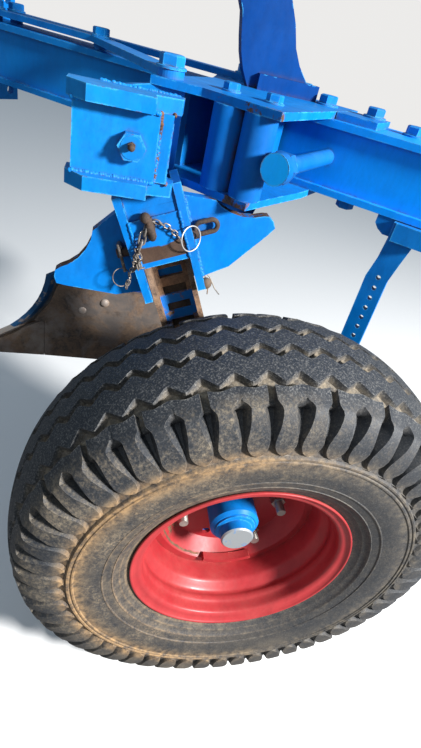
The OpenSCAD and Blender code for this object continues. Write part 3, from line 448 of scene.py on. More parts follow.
sideDust = times(side, fit(patchy, 0.7, 0.9, 0.0, 0.6), fit(noise(coords, 210.0, 5.0, 0.8), 0.42, 0.58, 0.25, 1.0),
                 fit(dustyEnd, 0.0, 1.0, 0.22, 1.0))
lowDust = times(fit(height, -0.8, -1.05), fit(cloud, 0.36, 0.62, 0.06, 0.4))
bandDust = times(tan, fit(close, 0.36, 0.62, 0.12, 0.72), fit(dustyEnd, 0.0, 1.0, 0.35, 1.0))
dusty = calc("MAXIMUM", calc("MAXIMUM", floorDust, sideDust), calc("MAXIMUM", lowDust, bandDust))
dusty = times(dusty, fit(hollow, 0.0, 1.0, 1.0, 0.35))
dustTone = mixColour(fit(close, 0.35, 0.65), (0.25, 0.2, 0.14, 1), (0.44, 0.35, 0.23, 1))
dustTone = mixColour(times(tan, dustyEnd), dustTone, (0.5, 0.3, 0.13, 1))
colour = mixColour(dusty, colour, dustTone)
# Painted shade: the shoulder hollows are darkened towards black, and above, their dust is cut back
colour = mixColour(times(hollow, 0.3), colour, (0.012, 0.012, 0.012, 1))
feed(colour, shader.inputs["Base Color"])
feed(fit(dusty, 0.0, 0.6, 0.6, 0.9), shader.inputs["Roughness"])
bump(shader, plus(noise(coords, 420.0, 4.0, 0.75), times(close, 0.8)), 0.65, 0.0009)
# Near-black finish for the plugs in the leg's slots: painted shade
slotShadePlugs = metalMaterial("slotShadePlugs", dict(rustyLook, dark=(0.016, 0.012, 0.009, 1), light=(0.075, 0.05, 0.032, 1),
                                              cover=0.0, polish=0.0, dust=0.25, rough=0.9))
print("stage: materials")

# Finishes of the CAD nodes; the console's tubes and webs get the darker copy of the blue, which is painted shade
nodeFinish = (
    (bluePaint, "front_flange link_bars upper_frog lower_frog skimmer_clamp skimmer_stem swing_boss swing_arm stub_axle"),
    (bluePaint, "wheel_hub"), (beamPaint, "beam"), (consolePaint, "console_plates"),
    (shadedInnerPaint, "console_tubes console_webs"), (darkBluePaint, "leg_cheeks upper_leg lower_leg"),
    (skyBluePaint, "pivot_housing pivot_pin link_bolts console_bolts hub_cap"), (hornPaint, "stop_horns"),
    (strapPaint, "leg_sleeve"), (dishPaint, "wheel_disc"), (redPaint, "wheel_rim"), (rubber, "tyre"),
    (scouredSteel, "upper_moldboard skimmer_board"), (shinSteel, "lower_moldboard"), (wornSteel, "upper_share lower_share"),
    (plateSteel, "upper_landside lower_landside"), (legSteel, "wheel_leg"), (pinSteel, "height_pin cross_pin"),
    (zincSteel, "wheel_studs"))
for finish, names in nodeFinish:
    for name in names.split():
        cadNodes[name].data.materials.clear()
        cadNodes[name].data.materials.append(finish)
print("stage: frame finishes")


# ---- helpers for meshes ----
onArm, onWheel, onPart = ("swing_arm", armFrame), ("wheel", travel), ("frame", Matrix.Identity(4))


def clamp(value, low=0.0, high=1.0):
    return max(low, min(high, value))


def toMode(mode):
    bpy.ops.object.mode_set(mode=mode)


def clearChoice():
    if bpy.context.object and bpy.context.object.mode != "OBJECT":
        toMode("OBJECT")
    bpy.ops.object.select_all(action="DESELECT")


def choose(pieces):
    clearChoice()
    for piece in pieces:
        piece.select_set(True)
    bpy.context.view_layer.objects.active = pieces[0]


def applyPlace():
    bpy.ops.object.transform_apply(location=True, rotation=True, scale=True)


# Leaves the piece in edit mode with those vertices or faces selected that pass the test
def selectThose(piece, kind, test):
    toMode("EDIT")
    bpy.ops.mesh.select_mode(type=kind)
    bpy.ops.mesh.select_all(action="DESELECT")
    shape = bmesh.from_edit_mesh(piece.data)
    for item in shape.verts if kind == "VERT" else shape.faces:
        item.select_set(test(item))
    if kind == "VERT":
        shape.select_flush(True)
    bmesh.update_edit_mesh(piece.data)


def joinPieces(pieces):
    choose(pieces)
    bpy.ops.object.join()
    return bpy.context.object


def settle(piece, name, finish, body, place, smooth=40):
    if isinstance(piece, list):
        piece = joinPieces(piece)
    choose([piece])
    applyPlace()
    piece.data.transform(place)
    piece.name = name
    piece.data.name = name
    piece.data.materials.clear()
    piece.data.materials.append(finish)
    bpy.ops.object.shade_smooth_by_angle(angle=math.radians(smooth))
    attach(piece, body)


def copyTo(piece, matrix):
    other = piece.copy()
    other.data = piece.data.copy()
    scene.collection.objects.link(other)
    other.data.transform(matrix)
    return other


def addRod(start, end, radius, sides=20):
    start, end = Vector(start), Vector(end)
    clearChoice()
    bpy.ops.mesh.primitive_cylinder_add(vertices=sides, radius=radius, depth=(end - start).length)
    rod = bpy.context.object
    rod.data.transform(Matrix.Translation((start + end) / 2) @ (end - start).to_track_quat("Z", "Y").to_matrix().to_4x4())
    return rod


def addBall(place, size, segments=28, rings=16):
    clearChoice()
    bpy.ops.mesh.primitive_uv_sphere_add(segments=segments, ring_count=rings, radius=1.0)
    bpy.ops.transform.resize(value=size)
    bpy.ops.transform.translate(value=place)
    applyPlace()
    return bpy.context.object


def addBox(place, size):
    clearChoice()
    bpy.ops.mesh.primitive_cube_add(size=1, location=place)
    bpy.ops.transform.resize(value=size)
    return bpy.context.object


def addRing(radius, wire, segments, sides, rotation=(0, 0, 0)):
    clearChoice()
    bpy.ops.mesh.primitive_torus_add(major_radius=radius, minor_radius=wire, major_segments=segments, minor_segments=sides,
                                     rotation=rotation)
    applyPlace()
    return bpy.context.object


# A disc with its upper rim bevelled
def addDisc(sides, radius, low, high, inset, rise):
    clearChoice()
    bpy.ops.mesh.primitive_cylinder_add(vertices=sides, radius=radius, depth=high - low, location=(0, 0, (low + high) / 2))
    disc = bpy.context.object
    applyPlace()
    selectThose(disc, "FACE", lambda face: face.normal.z > 0.9)
    bpy.ops.mesh.inset(thickness=inset)
    bpy.ops.transform.translate(value=(0, 0, rise))
    toMode("OBJECT")
    return disc


def alongPath(points, step):
    points = [Vector(p) for p in points]
    spots, carry = [], 0.0
    for start, end in zip(points, points[1:]):
        length = (end - start).length
        while carry <= length:
            spots.append((start.lerp(end, carry / length), (end - start).normalized()))
            carry += step
        carry -= length
    return spots


# ---- tyre: cut grooves, slits and shoulder lugs in place of the plain tread ----
# Angles run in lug pitches from an arch at 91 degrees. Across runs from the tyre's own middle plane.
tyreSize = {"shift": 0.006, "crown": 0.434, "fall": 0.03, "shoulder": 0.128, "lugs": 54, "phase": 91.0, "swing": 0.009,
            "outerSwing": 0.0036, "grooveHalf": 0.008, "grooveSlope": 0.0018, "grooveDepth": 0.0125, "columns": 12}
grooveMiddles, ribShares = (-0.091, -0.03, 0.03, 0.091), (0.1, 0.35, 0.65, 0.9)


def crownRadius(across):
    return tyreSize["crown"] - tyreSize["fall"] * (abs(across) / tyreSize["shoulder"]) ** 2.4


# Shoulder rows: radius, across, half width and depth of an arch, half width and depth of a slit, zigzag swing
shoulderRows = [
    (crownRadius(0.099), 0.099, 0.08, 0.0, 0.125, 0.0125, 0.0036),
    (crownRadius(0.106), 0.106, 0.08, 0.0, 0.125, 0.0125, 0.0012),
    (crownRadius(0.116), 0.116, 0.07, 0.0008, 0.128, 0.013, 0.0), (0.4088, 0.119, 0.11, 0.006, 0.135, 0.014, 0.0),
    (0.4073, 0.122, 0.2, 0.012, 0.155, 0.0155, 0.0), (0.4055, 0.1255, 0.27, 0.0165, 0.205, 0.018, 0.0),
    (0.4035, 0.1285, 0.31, 0.02, 0.26, 0.0205, 0.0), (0.4, 0.1325, 0.3, 0.0215, 0.29, 0.021, 0.0)]
# Below them arch and slit are alike: radius, across, half width and depth
shoulderRows += [(*row, *row[2:], 0.0) for row in (
    (0.393, 0.137, 0.29, 0.021), (0.384, 0.1415, 0.26, 0.017), (0.374, 0.145, 0.21, 0.013), (0.364, 0.1475, 0.15, 0.009),
    (0.354, 0.149, 0.105, 0.0085), (0.345, 0.1495, 0.12, 0.008), (0.338, 0.1495, 0.18, 0.0074),
    (0.332, 0.1493, 0.27, 0.0066), (0.3285, 0.1492, 0.37, 0.0056), (0.3258, 0.149, 0.46, 0.004))]
# Plain rows down the side wall to the bead: radius, across, share of tan dust
sideRows = (
    (0.3228, 0.1452, 0.5), (0.321, 0.1482, 0.8), (0.3195, 0.1497, 1.0), (0.3165, 0.1497, 1.0), (0.315, 0.148, 0.9),
    (0.3132, 0.148, 0.9), (0.3118, 0.1496, 1.0), (0.309, 0.1496, 1.0), (0.3075, 0.1476, 0.9), (0.303, 0.1477, 0.85),
    (0.29, 0.1474, 0.4), (0.276, 0.1456, 0.15), (0.262, 0.1424, 0.2), (0.2606, 0.1432, 0.5), (0.259, 0.1428, 0.5),
    (0.2578, 0.141, 0.3), (0.25, 0.1388, 0.25), (0.244, 0.1368, 0.4), (0.2428, 0.1376, 0.6), (0.2408, 0.1366, 0.6),
    (0.2396, 0.1346, 0.3), (0.232, 0.13, 0.3), (0.229, 0.1288, 0.6), (0.2276, 0.1276, 0.3), (0.222, 0.1234, 0.3),
    (0.2196, 0.1222, 0.6), (0.216, 0.1192, 0.5), (0.2143, 0.1188, 0.4),
    (0.1948, 0.1084, 0.2), (0.1947, 0.084, 0.1))
# Inner wall of the carcass: radius, across
hiddenRows = ((0.324, 0.134), (0.395, 0.102), (0.395, -0.102), (0.324, -0.134))
# Shoulder hollows: where they tilt down the side, how steep their walls are, how the lug's columns share the rest,
# and where the side wall's grey and tan begin
hollowSize = {"tiltFrom": 0.116, "tiltOver": 0.022, "tilt": 80, "slitEnd": 0.121, "slitWall": 0.025, "bandRadius": 0.35,
              "bandWall": 0.38, "wallFrom": 0.1185, "wallStart": 0.45, "wallGrowth": 14, "wallMost": 0.8,
              "shares": (0.12, 0.4, 0.72), "greyFrom": 0.105, "greyOver": 0.02, "tanOver": 0.022, "tanMost": 0.9}
columns = tyreSize["columns"]
columnCount = tyreSize["lugs"] * columns
tyrePoints, tyreZones = [], []


def zigzag(turn):
    return clamp((abs(2 * (turn % 1.0) - 1) * 2 - 1) * 1.2, -1.0)


def addTyreRing(places):
    for radius, across, turn, zone in places:
        angle = math.radians(tyreSize["phase"]) + turn * 2 * math.pi / tyreSize["lugs"]
        place = Vector((radius * math.cos(angle), across + tyreSize["shift"], radius * math.sin(angle)))
        tyrePoints.append(tuple(travel @ place))
        tyreZones.extend((*zone, 1.0))


def plainRing(radius, across, tan):
    addTyreRing([(radius, across, step / columns, (0.0, 1.0, tan)) for step in range(columnCount)])


def crownRing(middle, swing, depth):
    places = []
    for step in range(columnCount):
        turn = step / columns
        across = middle + zigzag(turn) * swing
        places.append((crownRadius(across) - depth, across, turn, (depth / tyreSize["grooveDepth"], 0.0, 0.0)))
    addTyreRing(places)


def shoulderRing(row, face):
    radius, middle, archHalf, archDeep, slitHalf, slitDeep, swing = row
    size, middleColumn = hollowSize, columns // 2
    tilt = clamp((middle - size["tiltFrom"]) / size["tiltOver"]) * math.radians(size["tilt"])
    steepness = min(size["wallMost"], size["wallStart"] + size["wallGrowth"] * (middle - size["wallFrom"]))
    if radius < size["bandRadius"]:
        steepness = size["bandWall"]
    places = []
    for step in range(columnCount):
        column = step if face < 0 else step - middleColumn
        spot = column % columns
        hollow = column // columns + (spot > middleColumn)
        half, deep = (slitHalf, slitDeep) if hollow % 2 else (archHalf, archDeep)
        wall = size["slitWall"] if hollow % 2 and middle < size["slitEnd"] else half * steepness
        ease = (0.0, half - wall, half, *(half + share * (0.5 - half) for share in size["shares"]), 0.5)
        way = 1 if spot <= middleColumn else -1
        turn = hollow + ease[min(spot, columns - spot)] * way + (0.5 if face > 0 else 0.0)
        sunk = deep if spot in (0, 1, columns - 1) else 0.0
        across = face * middle + zigzag(turn) * swing - face * sunk * math.sin(tilt)
        zone = (clamp(sunk / tyreSize["grooveDepth"]), clamp((middle - size["greyFrom"]) / size["greyOver"]),
                clamp((size["bandRadius"] - radius) / size["tanOver"], 0.0, size["tanMost"]))
        places.append((radius - sunk * math.cos(tilt), across, turn, zone))
    addTyreRing(places)


for row in reversed(sideRows):
    plainRing(row[0], -row[1], row[2])
for row in reversed(shoulderRows):
    shoulderRing(row, -1)
for spot, middle in enumerate(grooveMiddles):
    left = tyreSize["outerSwing"] if spot == 0 else tyreSize["swing"]
    right = tyreSize["outerSwing"] if spot == 3 else tyreSize["swing"]
    start, end = middle - tyreSize["grooveHalf"], middle + tyreSize["grooveHalf"]
    if spot > 0:
        crownRing(start, left, 0.0)
    crownRing(start + tyreSize["grooveSlope"], left, tyreSize["grooveDepth"])
    crownRing(end - tyreSize["grooveSlope"], right, tyreSize["grooveDepth"])
    if spot < 3:
        crownRing(end, right, 0.0)
        ribWide = grooveMiddles[spot + 1] - middle - 2 * tyreSize["grooveHalf"]
        for share in ribShares:
            crownRing(end + ribWide * share, tyreSize["swing"], 0.0)
for row in shoulderRows:
    shoulderRing(row, 1)
for row in sideRows:
    plainRing(*row)
for row in hiddenRows:
    plainRing(*row, 0.0)
ringCount = len(tyrePoints) // columnCount
tyreFaces = []
for ring in range(ringCount):
    here, there = ring * columnCount, (ring + 1) % ringCount * columnCount
    for step in range(columnCount):
        after = (step + 1) % columnCount
        tyreFaces.append((here + step, here + after, there + after, there + step))
tyreMesh = bpy.data.meshes.new("treadedTyre")
tyreMesh.from_pydata(tyrePoints, [], tyreFaces)
zones = tyreMesh.color_attributes.new(name="zone", type="FLOAT_COLOR", domain="POINT")
zones.data.foreach_set("color", tyreZones)
treadedTyre = bpy.data.objects.new("treadedTyre", tyreMesh)
scene.collection.objects.link(treadedTyre)
choose([treadedTyre])
toMode("EDIT")
bpy.ops.mesh.select_all(action="SELECT")
bpy.ops.mesh.normals_make_consistent(inside=False)
toMode("OBJECT")
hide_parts("tyre")
settle(treadedTyre, "treadedTyre", rubber, "wheel", Matrix.Identity(4), 36)
print("stage: tyre", len(tyreMesh.polygons), "faces")

# ---- small pieces: each is modelled in the arm's, the wheel's or the pivot's own frame and then put in place ----
# Chains: one link drawn out of a ring, then a copy at each step with every other one turned on edge
chainLook = {"small": {"wide": 0.0034, "wire": 0.0011, "stretch": 0.0022, "step": 0.0086},
             "big": {"wide": 0.0052, "wire": 0.0017, "stretch": 0.0062, "step": 0.0185}}


def modelLink(look):
    link = addRing(look["wide"], look["wire"], 16, 8)
    for side in (1, -1):
        selectThose(link, "VERT", lambda vert: vert.co.x * side > 0.0001)
        bpy.ops.transform.translate(value=(look["stretch"] * side, 0, 0))
        toMode("OBJECT")
    return link


links = {size: modelLink(look) for size, look in chainLook.items()}


def hangChain(size, tight, loose, points):
    copies = []
    for count, (spot, way) in enumerate(alongPath(points, chainLook[size]["step"] * tight)):
        aim = way + Vector([random.uniform(-loose, loose) for axis in range(3)])
        turn = aim.to_track_quat("X", "Z").to_matrix().to_4x4()
        roll = Matrix.Rotation(math.radians(90 * (count % 2) + random.uniform(-14, 14) * loose * 3), 4, "X")
        copies.append(copyTo(links[size], Matrix.Translation(spot) @ turn @ roll))
    return copies


# Each strand: size of its links, how tight they follow, how loose they hang, and its course in the arm's frame
for name, *strands in (
        ("rightPinChain", ("small", 1.0, 0.15, (
            (-0.004, 0.1475, -0.119), (0.006, 0.146, -0.1245), (0.019, 0.1455, -0.1345), (0.0262, 0.1462, -0.146),
            (0.0315, 0.149, -0.158), (0.0322, 0.152, -0.164)))),
        ("leftChainTop", ("big", 0.8, 0.1, ((-0.0175, 0.146, -0.13), (-0.0345, 0.145, -0.1565)))),
        ("knottedChain",
         ("small", 1.0, 0.5, ((-0.037, 0.1465, -0.16), (-0.044, 0.146, -0.168), (-0.047, 0.1462, -0.178),
                              (-0.0455, 0.147, -0.188), (-0.052, 0.149, -0.192))),
         ("small", 1.0, 0.5, ((-0.04, 0.1452, -0.162), (-0.038, 0.145, -0.174), (-0.043, 0.1455, -0.184),
                              (-0.041, 0.146, -0.193), (-0.049, 0.1475, -0.186))),
         ("small", 1.0, 0.5, ((-0.042, 0.144, -0.166), (-0.0505, 0.145, -0.176), (-0.0465, 0.1455, -0.19)))),
        ("leftChainEnd", ("small", 0.85, 0.3, (
            (-0.054, 0.152, -0.19), (-0.061, 0.157, -0.198), (-0.066, 0.16, -0.204), (-0.069, 0.16, -0.212),
            (-0.078, 0.162, -0.225))))):
    settle([link for strand in strands for link in hangChain(*strand)], name, chainSteel, *onArm)
for link in links.values():
    bpy.data.objects.remove(link)

# Spring rings of the two pins
for name, finish, place, radius, wire, yaw, tip in (
        ("rightSpringRing", ringSteel, (0.05, 0.149, -0.1645), 0.0205, 0.0012, 36, 4),
        ("leftSpringRing", chainSteel, (-0.0815, 0.165, -0.2075), 0.0155, 0.0008, 24, -8)):
    ring = addRing(radius, wire, 72, 10)
    turn = Matrix.Rotation(math.radians(yaw), 4, "Z") @ Matrix.Rotation(math.radians(90 + tip), 4, "X")
    ring.data.transform(Matrix.Translation(place) @ turn)
    settle(ring, name, finish, *onArm)

# Spring pin through the left end of the cross pin, and the worn knobs of the T handle
settle([addRod((-0.0695, 0.166, -0.15), (-0.0722, 0.164, -0.1985), 0.0027),
        addRod((-0.069, 0.166, -0.156), (-0.069, 0.184, -0.156), 0.004)], "springPin", chainSteel, *onArm)
settle([addBall(place, size) for place, size in (
    ((-0.0125, 0.1455, -0.1125), (0.0086, 0.0086, 0.0088)), ((-0.01, 0.146, -0.144), (0.0068, 0.0068, 0.008)),
    ((-0.0098, 0.146, -0.131), (0.008, 0.0082, 0.015)))], "handleKnobs", pinSteel, *onArm)

# Front plate of the arm between the sleeve sides, closing the view above the strap
plateSize = {"front": 0.157, "wide": 0.0816}
settle([addBox((0, (plateSize["front"] + back) / 2, (low + high) / 2),
               (plateSize["wide"], back - plateSize["front"], high - low))
        for low, high, back in ((-0.1015, -0.07, 0.1712), (-0.1175, -0.101, 0.164))],
       "armFrontPlate", skyBluePaint, *onArm, 20)

# Painted shade: dark plugs set in the slots of the leg below the sleeve stand in for the shadow inside the slots
slotShadeLook = {"first": 0.13, "pitch": 0.036, "face": 0.2128, "size": (0.0436, 0.0026, 0.0176)}
plugs = []
for slot in range(4, 13):
    plugs.append(addBox((0, slotShadeLook["face"], -slotShadeLook["first"] - slot * slotShadeLook["pitch"]), slotShadeLook["size"]))
    toMode("EDIT")
    bpy.ops.mesh.subdivide(number_cuts=7, fractal=0.1, seed=slot)
    toMode("OBJECT")
settle(plugs, "slotShadePlugs", slotShadePlugs, *onArm, 60)

# Retaining knob and loose wires behind the lower end of the sleeve
settle(addBall((0.0585, 0.197, -0.2735), (0.0105, 0.0084, 0.011025), 24, 14), "retainingKnob", plateSteel, *onArm)
wireRadius = 0.0012
for name, finish, points in (
        ("looseWire", zincSteel, ((0.05, 0.206, -0.238), (0.058, 0.208, -0.25), (0.068, 0.206, -0.268),
                                  (0.072, 0.204, -0.292), (0.078, 0.202, -0.306))),
        ("looseWireShort", wornSteel, ((0.051, 0.21, -0.243), (0.06, 0.209, -0.262), (0.061, 0.206, -0.286),
                                       (0.056, 0.204, -0.3)))):
    settle([addRod(start, end, wireRadius, 8) for start, end in zip(points, points[1:])], name, finish, *onArm)
print("stage: pins and chains")

# Grease nipple on the pivot nut: its hexagon, neck and ball
pivotPlace = travel @ Matrix.Translation((-wheelPlace["trail"], 0, wheelPlace["drop"]))
settle([addRod((-0.0006, 0.0905, 0.0027), (-0.0006, 0.086, 0.0027), 0.0058, 6),
        addRod((-0.0006, 0.0862, 0.0027), (-0.0006, 0.08, 0.0027), 0.0038),
        addBall((-0.0006, 0.0795, 0.0027), (0.0046, 0.0046, 0.0046), 20, 12)],
       "greaseNipple", pinSteel, "frame", pivotPlace)

# Domed bolt on the face plate of the lower landside, and the two that the ground has worn flat
settle([addBall((along, 0.4228, up), (radius, radius * rise, radius)) for along, up, radius, rise in (
    (-0.2936, 0.2323, 0.0105, 0.62), (-0.344, 0.206, 0.009, 0.35), (-0.185, 0.15, 0.009, 0.35))],
       "plateBolts", wornSteel, "frame", travel)

# Distance pieces under the link bars where they stand clear of the beam
spacerSize = {"low": 0.0618, "high": 0.0742, "radius": 0.015}
settle([addRod((x, y, spacerSize["low"]), (x, y, spacerSize["high"]), spacerSize["radius"], 32)
        for x, y in ((0.11, -0.028), (0.44, -0.028), (0.11, 0.034))], "linkSpacers", bluePaint, *onPart)

# Valve guard in the dish: a flat bar bent to the wheel, cut from a ring
guardLook = {"inner": 0.14, "wall": 0.009, "front": -0.014, "back": 0.004, "from": -104, "to": -62}
clearChoice()
bpy.ops.mesh.primitive_cylinder_add(vertices=144, radius=guardLook["inner"] + guardLook["wall"],
                                    depth=guardLook["back"] - guardLook["front"], end_fill_type="NOTHING",
                                    location=(0, (guardLook["front"] + guardLook["back"]) / 2, 0),
                                    rotation=(math.pi / 2, 0, 0))
guard = bpy.context.object
applyPlace()


def outsideGuard(face):
    centre = face.calc_center_median()
    return not guardLook["from"] < math.degrees(math.atan2(centre.z, centre.x)) < guardLook["to"]


selectThose(guard, "FACE", outsideGuard)
bpy.ops.mesh.delete(type="FACE")
bpy.ops.mesh.select_all(action="SELECT")
bpy.ops.mesh.solidify(thickness=guardLook["wall"])
bpy.ops.mesh.normals_make_consistent(inside=False)
toMode("OBJECT")
settle(guard, "valveGuard", redPaint, *onWheel)

# Rim: the same outline with rolled, rounded ridges, spun about the wheel axis
rimSize = {"shift": 0.006, "half": 0.124, "steps": 128, "rounds": 2}
rimEdge = rimSize["half"] - 0.014
rimHalfLine = ((0.212, rimSize["half"]), (0.212, rimSize["half"] - 0.005), (0.207, rimSize["half"] - 0.0085),
               (0.194, rimEdge), (0.1932, rimEdge - 0.038), (0.176, rimEdge - 0.06))
rimInnerLine = ((0.1698, rimEdge - 0.063), (0.1775, rimEdge - 0.054), (0.1865, rimEdge - 0.044), (0.187, rimEdge - 0.038),
                (0.1842, rimEdge - 0.031), (0.1848, rimEdge - 0.024), (0.1882, rimEdge - 0.017), (0.1882, rimEdge + 0.001),
                (0.1945, rimEdge + 0.006), (0.201, rimEdge + 0.0078), (0.2062, rimSize["half"] - 0.003),
                (0.2085, rimSize["half"]))
rimLine = [*rimHalfLine, *((r, -a) for r, a in reversed(rimHalfLine)), *((r, -a) for r, a in reversed(rimInnerLine)),
           *rimInnerLine]
for count in range(rimSize["rounds"]):
    rimLine = [(here[0] * share + there[0] * (1 - share), here[1] * share + there[1] * (1 - share))
               for here, there in zip(rimLine, rimLine[1:] + rimLine[:1]) for share in (0.78, 0.22)]
clearChoice()
bpy.ops.mesh.primitive_circle_add(vertices=len(rimLine), radius=0.1)
rolledRim = bpy.context.object
for vert, (radius, across) in zip(rolledRim.data.vertices, rimLine):
    vert.co = (radius, across + rimSize["shift"], 0)
toMode("EDIT")
bpy.ops.mesh.select_all(action="SELECT")
bpy.ops.mesh.spin(steps=rimSize["steps"], angle=2 * math.pi, center=(0, 0, 0), axis=(0, 1, 0))
bpy.ops.mesh.select_all(action="SELECT")
bpy.ops.mesh.remove_doubles(threshold=0.00002)
bpy.ops.mesh.normals_make_consistent(inside=False)
toMode("OBJECT")
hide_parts("wheel_rim")
settle(rolledRim, "rolledRim", dishPaint, *onWheel, 50)

# Bolts: one chamfered hexagon head on its washer, in shares of the width across the flats, scaled for each bolt
headShape = {"sides": 6, "radius": 0.5 / math.cos(math.radians(30)), "low": 0.08, "high": 0.5, "inset": 0.075,
             "rise": 0.055}
washerShape = {"sides": 40, "radius": 0.68, "low": 0.0, "high": 0.09, "inset": 0.04, "rise": 0.02}
bolt = joinPieces([addDisc(**headShape), addDisc(**washerShape)])


def boltSet(name, node, rows):
    copies = []
    for x, y, z, flats in rows:
        turn = Matrix.Rotation(random.uniform(0, math.pi / 3), 4, "Z") @ Matrix.Diagonal((flats, flats, flats, 1))
        flip = Matrix.Identity(4) if z > 0 else Matrix.Rotation(math.pi, 4, "X")
        copies.append(copyTo(bolt, Matrix.Translation((x, y, z)) @ flip @ turn))
    joined = joinPieces(copies)
    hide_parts(node)
    settle(joined, name, skyBluePaint, *onPart, 25)


boltSet("linkBolts", "link_bolts", (
    (0.11, -0.028, 0.086, 0.032), (0.11, 0.034, 0.086, 0.032), (0.44, -0.028, 0.086, 0.032),
    (0.8, -0.276, 0.086, 0.036), (0.771, 0.04, 0.086, 0.032), (0.968, 0.02, 0.074, 0.032),
    (1.062, 0.03, 0.074, 0.032), (1.144, 0.03, 0.062, 0.032), (1.08, -0.04, -0.062, 0.03)))
boltSet("consoleBolts", "console_bolts", [
    (x, y, z, 0.024) for z in (0.074, -0.074) for x, y in ((0.885, -0.225), (0.961, -0.221))])
bpy.data.objects.remove(bolt)

# Cap end in scuffed bare metal, and the stop bolt face in a lighter paint whose brightness is partly painted sunlight
secondFinish = {"capEnd": -0.0545, "stopFace": -0.262}
toWheel = travel.inverted()
for node, finish, test in (
        ("hub_cap", scuffedCap, lambda face: (toWheel @ face.center).y < secondFinish["capEnd"]),
        ("console_webs", stopPaintAndSunlight, lambda face: face.center.y < secondFinish["stopFace"] and face.normal.y < -0.9)):
    mesh = cadNodes[node].data
    mesh.materials.append(finish)
    for face in mesh.polygons:
        face.material_index = 1 if test(face) else 0

# Threads on the wheel studs: one thin ring, copied along each stud
studLook = {"circle": 0.1025, "phase": 49, "count": 6, "lost": 1, "radius": 0.009, "wire": 0.0007, "first": -0.007,
            "pitch": 0.0022, "turns": 10}
thread = addRing(studLook["radius"], studLook["wire"], 24, 6, (math.pi / 2, 0, 0))
threads = []
for stud in range(studLook["count"]):
    turn = math.radians(-(stud * 360 / studLook["count"] + studLook["phase"]))
    if stud != studLook["lost"]:
        for count in range(studLook["turns"]):
            place = (studLook["circle"] * math.cos(turn), studLook["first"] + count * studLook["pitch"],
                     studLook["circle"] * math.sin(turn))
            threads.append(copyTo(thread, Matrix.Translation(place)))
bpy.data.objects.remove(thread)
settle(threads, "studThreads", zincSteel, *onWheel)

# Weld beads: one ripple, copied close along each seam
beadLook = {"step": 0.0026, "jitter": 0.0007, "long": 0.0036}
ripple = addBall((0, 0, 0), (1, 1, 1), 12, 8)


def weldBead(name, points, radius, finish, body, place):
    copies = []
    for spot, way in alongPath(points, beadLook["step"]):
        spot = spot + Vector([random.uniform(-1, 1) * beadLook["jitter"] for axis in range(3)])
        turn = way.to_track_quat("X", "Z").to_matrix().to_4x4()
        size = radius * random.uniform(0.9, 1.12)
        copies.append(copyTo(ripple, Matrix.Translation(spot) @ turn @ Matrix.Diagonal((beadLook["long"], size, size, 1))))
    settle(copies, name, finish, body, place, 60)


# Housing: along its top and bottom, down the left edge, and where the side wall meets the front plate
for name, start, end, radius, finish in (
        ("housingTopWeld", (-0.08, 0.1095, 0.0452), (0.034, 0.1095, 0.0452), 0.00336, weldBlue),
        ("housingBottomWeld", (-0.08, 0.1095, -0.0452), (0.034, 0.1095, -0.0452), 0.00336, weldBlue),
        ("housingCornerWeld", (0.0355, 0.1145, 0.045), (0.0355, 0.1145, -0.045), 0.0036, rustyWeld),
        ("housingSideWeldTop", (0.0535, 0.118, 0.0452), (0.0535, 0.147, 0.0452), 0.00288, rustyWeld),
        ("housingSideWeldBottom", (0.0535, 0.118, -0.0452), (0.0535, 0.147, -0.0452), 0.00288, rustyWeld),
        ("housingEndWeldTop", (-0.0803, 0.112, 0.0452), (-0.0803, 0.146, 0.0452), 0.00288, weldBlue),
        ("housingPlateWeld", (-0.046, 0.1475, 0.0645), (0.058, 0.1475, 0.0645), 0.00288, weldBlue)):
    weldBead(name, [start, end], radius, finish, "frame", pivotPlace)
# Arm: strap to the two sleeve sides, and the horns to the sleeve
for sideName, side in (("Left", -1), ("Right", 1)):
    for name, across, away, top, foot, radius in (("strapWeld", 0.0415, 0.1525, -0.119, -0.197, 0.0026),
                                                  ("hornWeld", 0.0555, 0.1848, -0.112, -0.25, 0.0034)):
        weldBead(name + sideName, [(side * across, away, top), (side * across, away, foot)], radius, weldBlue, *onArm)
# Stub axle collar to its plate, and the disc to the rim
circle = [(math.cos(math.radians(a)), math.sin(math.radians(a))) for a in range(0, 365, 5)]
for name, radius, out, bead, finish, body in (("collarWeld", 0.0385, 0.152, 0.0034, weldBlue, "swing_arm"),
                                              ("discWeld", 0.1655, 0.003, 0.003, weldRed, "wheel")):
    weldBead(name, [(radius * c, out, radius * s) for c, s in circle], bead, finish, body, travel)
bpy.data.objects.remove(ripple)
print("stage: fittings and welds")

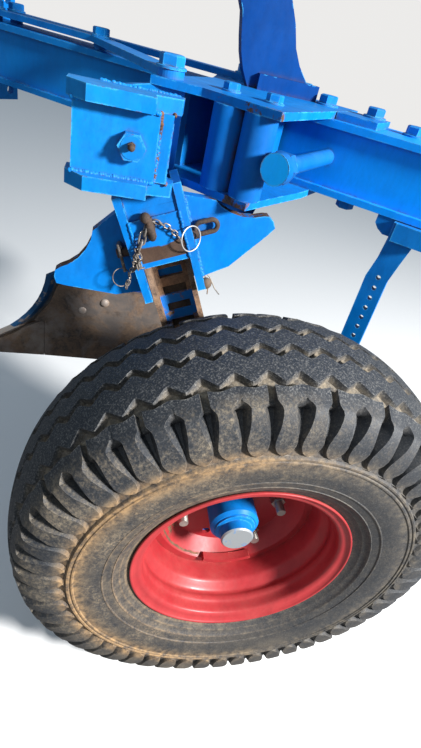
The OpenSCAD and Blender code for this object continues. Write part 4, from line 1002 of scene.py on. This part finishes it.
# ---- floor and light ----
stageLook = {"floorSize": 16.0, "floorPlace": (0.7, 0), "floorColour": (0.8, 0.79, 0.77, 1),
             "floorBounce": (0.22, 0.21, 0.2, 1), "keyPower": 430.0, "keySize": 0.55, "keyPlace": (2.35, -2.1, 2.15),
             "keyAim": (0, 0.1, 0.4), "fillPower": 9.0, "fillSize": 2.4, "fillPlace": (-2.2, -2.4, 2.2),
             "fillAim": (0, 0.1, 0.3), "skyStrength": 0.4, "skyGlow": (0.66, 0.82, 1.0, 1), "skySeen": (2.1, 2.08, 2.05, 1)}
bpy.ops.mesh.primitive_plane_add(size=stageLook["floorSize"], location=(*stageLook["floorPlace"], cadLow.z - 0.0005))
studioFloor = bpy.context.object
studioFloor.name = "studioFloor"
floorFinish, shader, coords = startMaterial("floorFinish")
path = addNode("ShaderNodeLightPath")
floorTone = mixColour(path.outputs["Is Camera Ray"], stageLook["floorBounce"], stageLook["floorColour"])
feed(floorTone, shader.inputs["Base Color"])
shader.inputs["Roughness"].default_value = 0.9
studioFloor.data.materials.append(floorFinish)


def addArea(name, place, size, power, aim):
    data = bpy.data.lights.new(name, "AREA")
    data.shape = "DISK"
    data.size = size
    data.energy = power
    lamp = bpy.data.objects.new(name, data)
    lamp.location = travel @ Vector(place)
    toward = travel @ Vector(aim) - lamp.location
    lamp.rotation_euler = toward.to_track_quat("-Z", "Y").to_euler()
    scene.collection.objects.link(lamp)


for lamp in ("key", "fill"):
    addArea(lamp + "Lamp", *(stageLook[lamp + what] for what in ("Place", "Size", "Power", "Aim")))
world = bpy.data.worlds.new("studioWorld")
scene.world = world
world.use_nodes = True
inHand["tree"] = world.node_tree
sky = world.node_tree.nodes["Background"]
sky.inputs["Strength"].default_value = stageLook["skyStrength"]
path = addNode("ShaderNodeLightPath")
seen = mixColour(path.outputs["Is Camera Ray"], stageLook["skyGlow"], stageLook["skySeen"])
feed(seen, sky.inputs["Color"])
bpy.context.scene.view_settings.view_transform = "Standard"
print("stage: floor and light")
